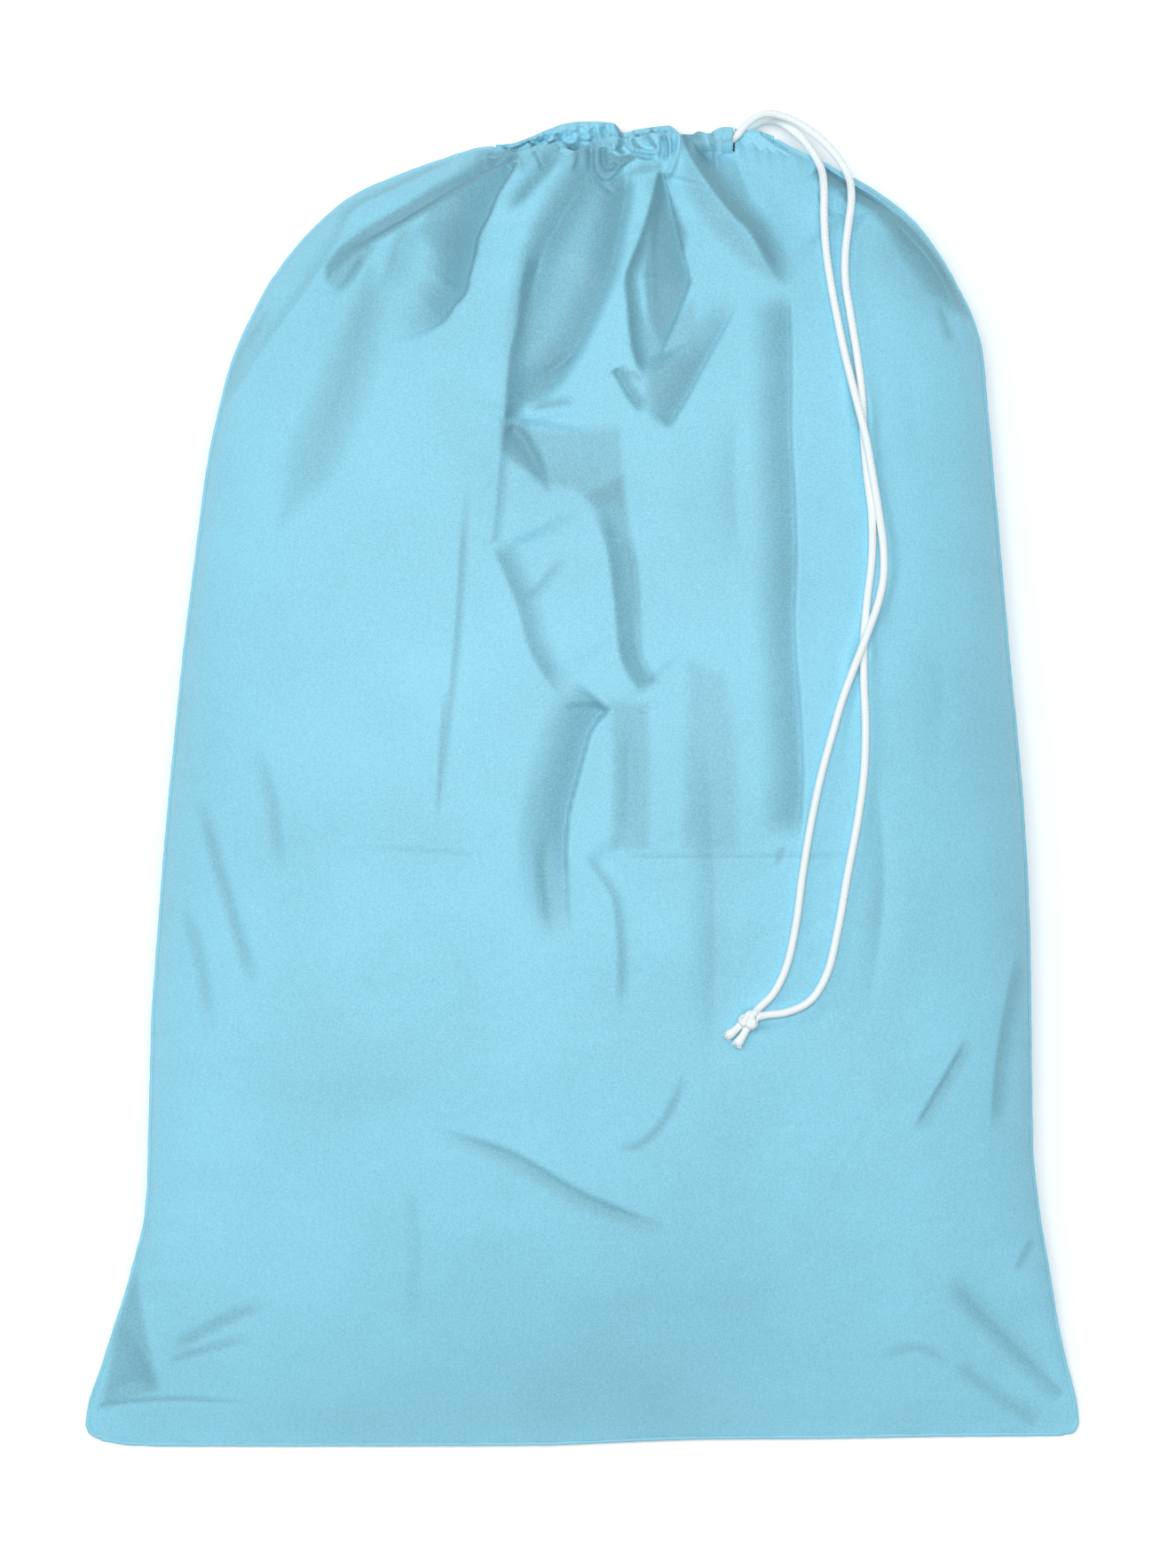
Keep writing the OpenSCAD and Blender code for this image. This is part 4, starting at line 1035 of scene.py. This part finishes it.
def cloth_material(name, light, shade, weave=1 / 0.00085, strength=0.10):
    """Plain weave, thinly coated: warp and weft as two wave sets, slubs, a soft mottled colour, painted shade from a
    mesh attribute, low sheen.
    """
    m, nt, p = new_material(name)
    L = nt.links
    uvn = node(nt, "ShaderNodeUVMap")
    uvn.uv_map = "UVMap"
    co = node(nt, "ShaderNodeTexCoord")
    warp = node(nt, "ShaderNodeTexWave", wave_type="BANDS", bands_direction="X", wave_profile="SIN")
    warp.inputs["Scale"].default_value = weave / 6.2832 * 2
    warp.inputs["Distortion"].default_value = 0.6
    warp.inputs["Detail"].default_value = 1.0
    weft = node(nt, "ShaderNodeTexWave", wave_type="BANDS", bands_direction="Y", wave_profile="SIN")
    weft.inputs["Scale"].default_value = weave / 6.2832 * 2
    weft.inputs["Distortion"].default_value = 0.6
    weft.inputs["Detail"].default_value = 1.0
    L.new(uvn.outputs["UV"], warp.inputs["Vector"])
    L.new(uvn.outputs["UV"], weft.inputs["Vector"])
    mul = node(nt, "ShaderNodeMath", operation="MULTIPLY")
    L.new(warp.outputs["Fac"], mul.inputs[0])
    L.new(weft.outputs["Fac"], mul.inputs[1])
    grain = node(nt, "ShaderNodeTexNoise")
    grain.inputs["Scale"].default_value = 1600.0
    grain.inputs["Detail"].default_value = 3.0
    L.new(co.outputs["Object"], grain.inputs["Vector"])
    add = node(nt, "ShaderNodeMath", operation="MULTIPLY_ADD")
    add.inputs[1].default_value = 0.6
    L.new(grain.outputs["Fac"], add.inputs[0])
    L.new(mul.outputs[0], add.inputs[2])
    crumple = node(nt, "ShaderNodeTexNoise")
    crumple.inputs["Scale"].default_value = 130.0
    crumple.inputs["Detail"].default_value = 5.0
    crumple.inputs["Roughness"].default_value = 0.55
    L.new(co.outputs["Object"], crumple.inputs["Vector"])
    b1 = node(nt, "ShaderNodeBump")
    b1.inputs["Strength"].default_value = 0.22
    b1.inputs["Distance"].default_value = 0.0006
    L.new(crumple.outputs["Fac"], b1.inputs["Height"])
    b2 = node(nt, "ShaderNodeBump")
    b2.inputs["Strength"].default_value = strength
    b2.inputs["Distance"].default_value = 0.0002
    L.new(add.outputs[0], b2.inputs["Height"])
    L.new(b1.outputs["Normal"], b2.inputs["Normal"])
    L.new(b2.outputs["Normal"], p.inputs["Normal"])
    # colour: slightly mottled dye, with shade painted darker in the creases and beside the folds
    mottle = node(nt, "ShaderNodeTexNoise")
    mottle.inputs["Scale"].default_value = 9.0
    mottle.inputs["Detail"].default_value = 4.0
    L.new(co.outputs["Object"], mottle.inputs["Vector"])
    fine = node(nt, "ShaderNodeTexNoise")
    fine.inputs["Scale"].default_value = 900.0
    fine.inputs["Detail"].default_value = 2.0
    L.new(co.outputs["Object"], fine.inputs["Vector"])
    painted_shade = node(nt, "ShaderNodeAttribute")
    painted_shade.attribute_name = "painted_shade"
    dm = node(nt, "ShaderNodeMapRange")
    dm.inputs["From Min"].default_value = 0.0
    dm.inputs["From Max"].default_value = 1.0
    dm.inputs["To Min"].default_value = 0.0
    dm.inputs["To Max"].default_value = 0.52
    L.new(painted_shade.outputs["Fac"], dm.inputs["Value"])
    s1 = node(nt, "ShaderNodeMath", operation="MULTIPLY_ADD")
    s1.inputs[1].default_value = 0.34
    L.new(mottle.outputs["Fac"], s1.inputs[0])
    L.new(dm.outputs[0], s1.inputs[2])
    s2 = node(nt, "ShaderNodeMath", operation="MULTIPLY_ADD")
    s2.inputs[1].default_value = 0.65
    L.new(fine.outputs["Fac"], s2.inputs[0])
    L.new(s1.outputs[0], s2.inputs[2])
    ramp = node(nt, "ShaderNodeValToRGB")
    ramp.color_ramp.elements[0].position = 0.38
    ramp.color_ramp.elements[0].color = (*light, 1)
    ramp.color_ramp.elements[1].position = 1.0
    ramp.color_ramp.elements[1].color = (*shade, 1)
    L.new(s2.outputs[0], ramp.inputs["Fac"])
    L.new(ramp.outputs["Color"], p.inputs["Base Color"])
    p.inputs["Roughness"].default_value = 0.56
    p.inputs["Specular IOR Level"].default_value = 0.35
    p.inputs["Sheen Weight"].default_value = 0.12
    p.inputs["Sheen Roughness"].default_value = 0.5
    return m


def thread_material(name, a, b, scale, rough):
    """Twisted or braided fibre: fine slanted bands with fibre noise."""
    m, nt, p = new_material(name)
    L = nt.links
    co = node(nt, "ShaderNodeTexCoord")
    w = node(nt, "ShaderNodeTexWave", wave_type="BANDS", bands_direction="DIAGONAL", wave_profile="SIN")
    w.inputs["Scale"].default_value = scale
    w.inputs["Distortion"].default_value = 2.0
    w.inputs["Detail"].default_value = 2.0
    L.new(co.outputs["Object"], w.inputs["Vector"])
    n = node(nt, "ShaderNodeTexNoise")
    n.inputs["Scale"].default_value = scale * 3
    n.inputs["Detail"].default_value = 3.0
    L.new(co.outputs["Object"], n.inputs["Vector"])
    mix = node(nt, "ShaderNodeMath", operation="MULTIPLY_ADD")
    mix.inputs[1].default_value = 0.5
    L.new(n.outputs["Fac"], mix.inputs[0])
    L.new(w.outputs["Fac"], mix.inputs[2])
    ramp = node(nt, "ShaderNodeValToRGB")
    ramp.color_ramp.elements[0].position = 0.1
    ramp.color_ramp.elements[0].color = (*b, 1)
    ramp.color_ramp.elements[1].position = 0.9
    ramp.color_ramp.elements[1].color = (*a, 1)
    L.new(mix.outputs[0], ramp.inputs["Fac"])
    L.new(ramp.outputs["Color"], p.inputs["Base Color"])
    bp = node(nt, "ShaderNodeBump")
    bp.inputs["Strength"].default_value = 0.35
    bp.inputs["Distance"].default_value = 0.0002
    L.new(mix.outputs[0], bp.inputs["Height"])
    L.new(bp.outputs["Normal"], p.inputs["Normal"])
    p.inputs["Roughness"].default_value = rough
    p.inputs["Specular IOR Level"].default_value = 0.3
    p.inputs["Sheen Weight"].default_value = 0.2
    return m


CLOTH = (0.284, 0.688, 0.868)
# the dark end of the colour: the painted shade goes to it, and the mottle leans a little towards it
CLOTH_MOTTLE_AND_PAINTED_SHADE = (0.158, 0.366, 0.455)
mat_cloth = cloth_material("cloth_weave", CLOTH, CLOTH_MOTTLE_AND_PAINTED_SHADE)
mat_seam = cloth_material("seam_weave", (0.262, 0.640, 0.800), (0.170, 0.470, 0.600), strength=0.16)
mat_cord = thread_material("cord_braid", (0.90, 0.95, 0.96), (0.72, 0.83, 0.86), 420.0, 0.62)
mat_thread = thread_material("sewing_thread", (0.33, 0.70, 0.84), (0.24, 0.57, 0.71), 900.0, 0.55)


def paint(o, m):
    o.data.materials.clear()
    o.data.materials.append(m)


for o in (seam_l, seam_r, seam_b):
    # the seams get no painted shade
    add_value(o, "painted_shade", np.zeros(len(o.data.vertices)))
    u = o.data.uv_layers.new(name="UVMap")
    vi = np.zeros(len(o.data.loops), np.int32)
    o.data.loops.foreach_get("vertex_index", vi)
    u.data.foreach_set("uv", (np.stack([(vi % 12) * 0.6, (vi // 12) * 1.6], 1) * MM).astype(np.float32).ravel())
    paint(o, mat_seam)
for o in (front, back):
    paint(o, mat_cloth)
for o in (tail_left, tail_right, run, knot, end_left, end_right):
    paint(o, mat_cord)
for o in (stitch_l, stitch_r, stitch_b, tack_f, tack_b):
    paint(o, mat_thread)

# ---------------------------------------------------------------- what rides on what
for o in (tail_left, tail_right, run, knot, end_left, end_right):
    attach(o, "drawstring")
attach(tack_f, "bag")
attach(tack_b, "bag")
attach(seam_b, "bag")
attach(stitch_b, "bag")
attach(stitch_r, "bag")
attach(seam_r, "bag")
for o in (front, back, seam_l, stitch_l):
    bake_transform(o)
    n = len(o.data.vertices)
    co = np.zeros(n * 3)
    o.data.vertices.foreach_get("co", co)
    co = co.reshape(-1, 3) / MM

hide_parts("front_panel", "casing_front_a", "casing_front_b", "casing_front_c", "casing_front_end", "casing_fold")
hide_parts("back_panel", "casing_back_a", "casing_back_b", "casing_back_c", "casing_back_end")
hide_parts("side_seam_left")
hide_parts("side_seam_right")
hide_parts("bottom_seam")
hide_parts("drawcord_tail_left")
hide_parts("drawcord_tail_right")
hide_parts("drawcord_run")
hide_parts("drawcord_knot")
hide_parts("drawcord_end_left")
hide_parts("drawcord_end_right")
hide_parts("bartack_front")
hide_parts("bartack_back")

# ---------------------------------------------------------------- floor and light
fm, fnt, fp = new_material("floor_paper")
fn = node(fnt, "ShaderNodeTexNoise")
fn.inputs["Scale"].default_value = 60.0
fr = node(fnt, "ShaderNodeValToRGB")
fr.color_ramp.elements[0].color = (0.93, 0.93, 0.93, 1)
fr.color_ramp.elements[1].color = (0.955, 0.955, 0.955, 1)
fnt.links.new(fn.outputs["Fac"], fr.inputs["Fac"])
fnt.links.new(fr.outputs["Color"], fp.inputs["Base Color"])
fp.inputs["Roughness"].default_value = 0.9
fp.inputs["Specular IOR Level"].default_value = 0.1
fp.inputs["Emission Color"].default_value = (1, 1, 1, 1)
fp.inputs["Emission Strength"].default_value = 0.12
floor = make_mesh("floor", [(-15000, -15000, -0.3), (15000, -15000, -0.3), (15000, 15000, -0.3), (-15000, 15000, -0.3)],
                  [[0, 1, 2, 3]], smooth=False)
paint(floor, fm)

world = bpy.data.worlds.new("studio")
bpy.context.scene.world = world
world.use_nodes = True
bg = world.node_tree.nodes["Background"]
bg.inputs["Color"].default_value = (1, 1, 1, 1)
bg.inputs["Strength"].default_value = 0.20


def sun(name, rot, strength, angle):
    d = bpy.data.lights.new(name, "SUN")
    d.energy = strength
    d.angle = angle
    o = link(bpy.data.objects.new(name, d))
    o.rotation_euler = rot
    return o


sun("overhead", (math.radians(-8), 0, 0), 2.26, math.radians(38))
sun("from the left", (math.radians(-7), math.radians(-36), 0), 0.62, math.radians(22))
bpy.context.scene.view_settings.view_transform = "Standard"

bpy.context.view_layer.update()
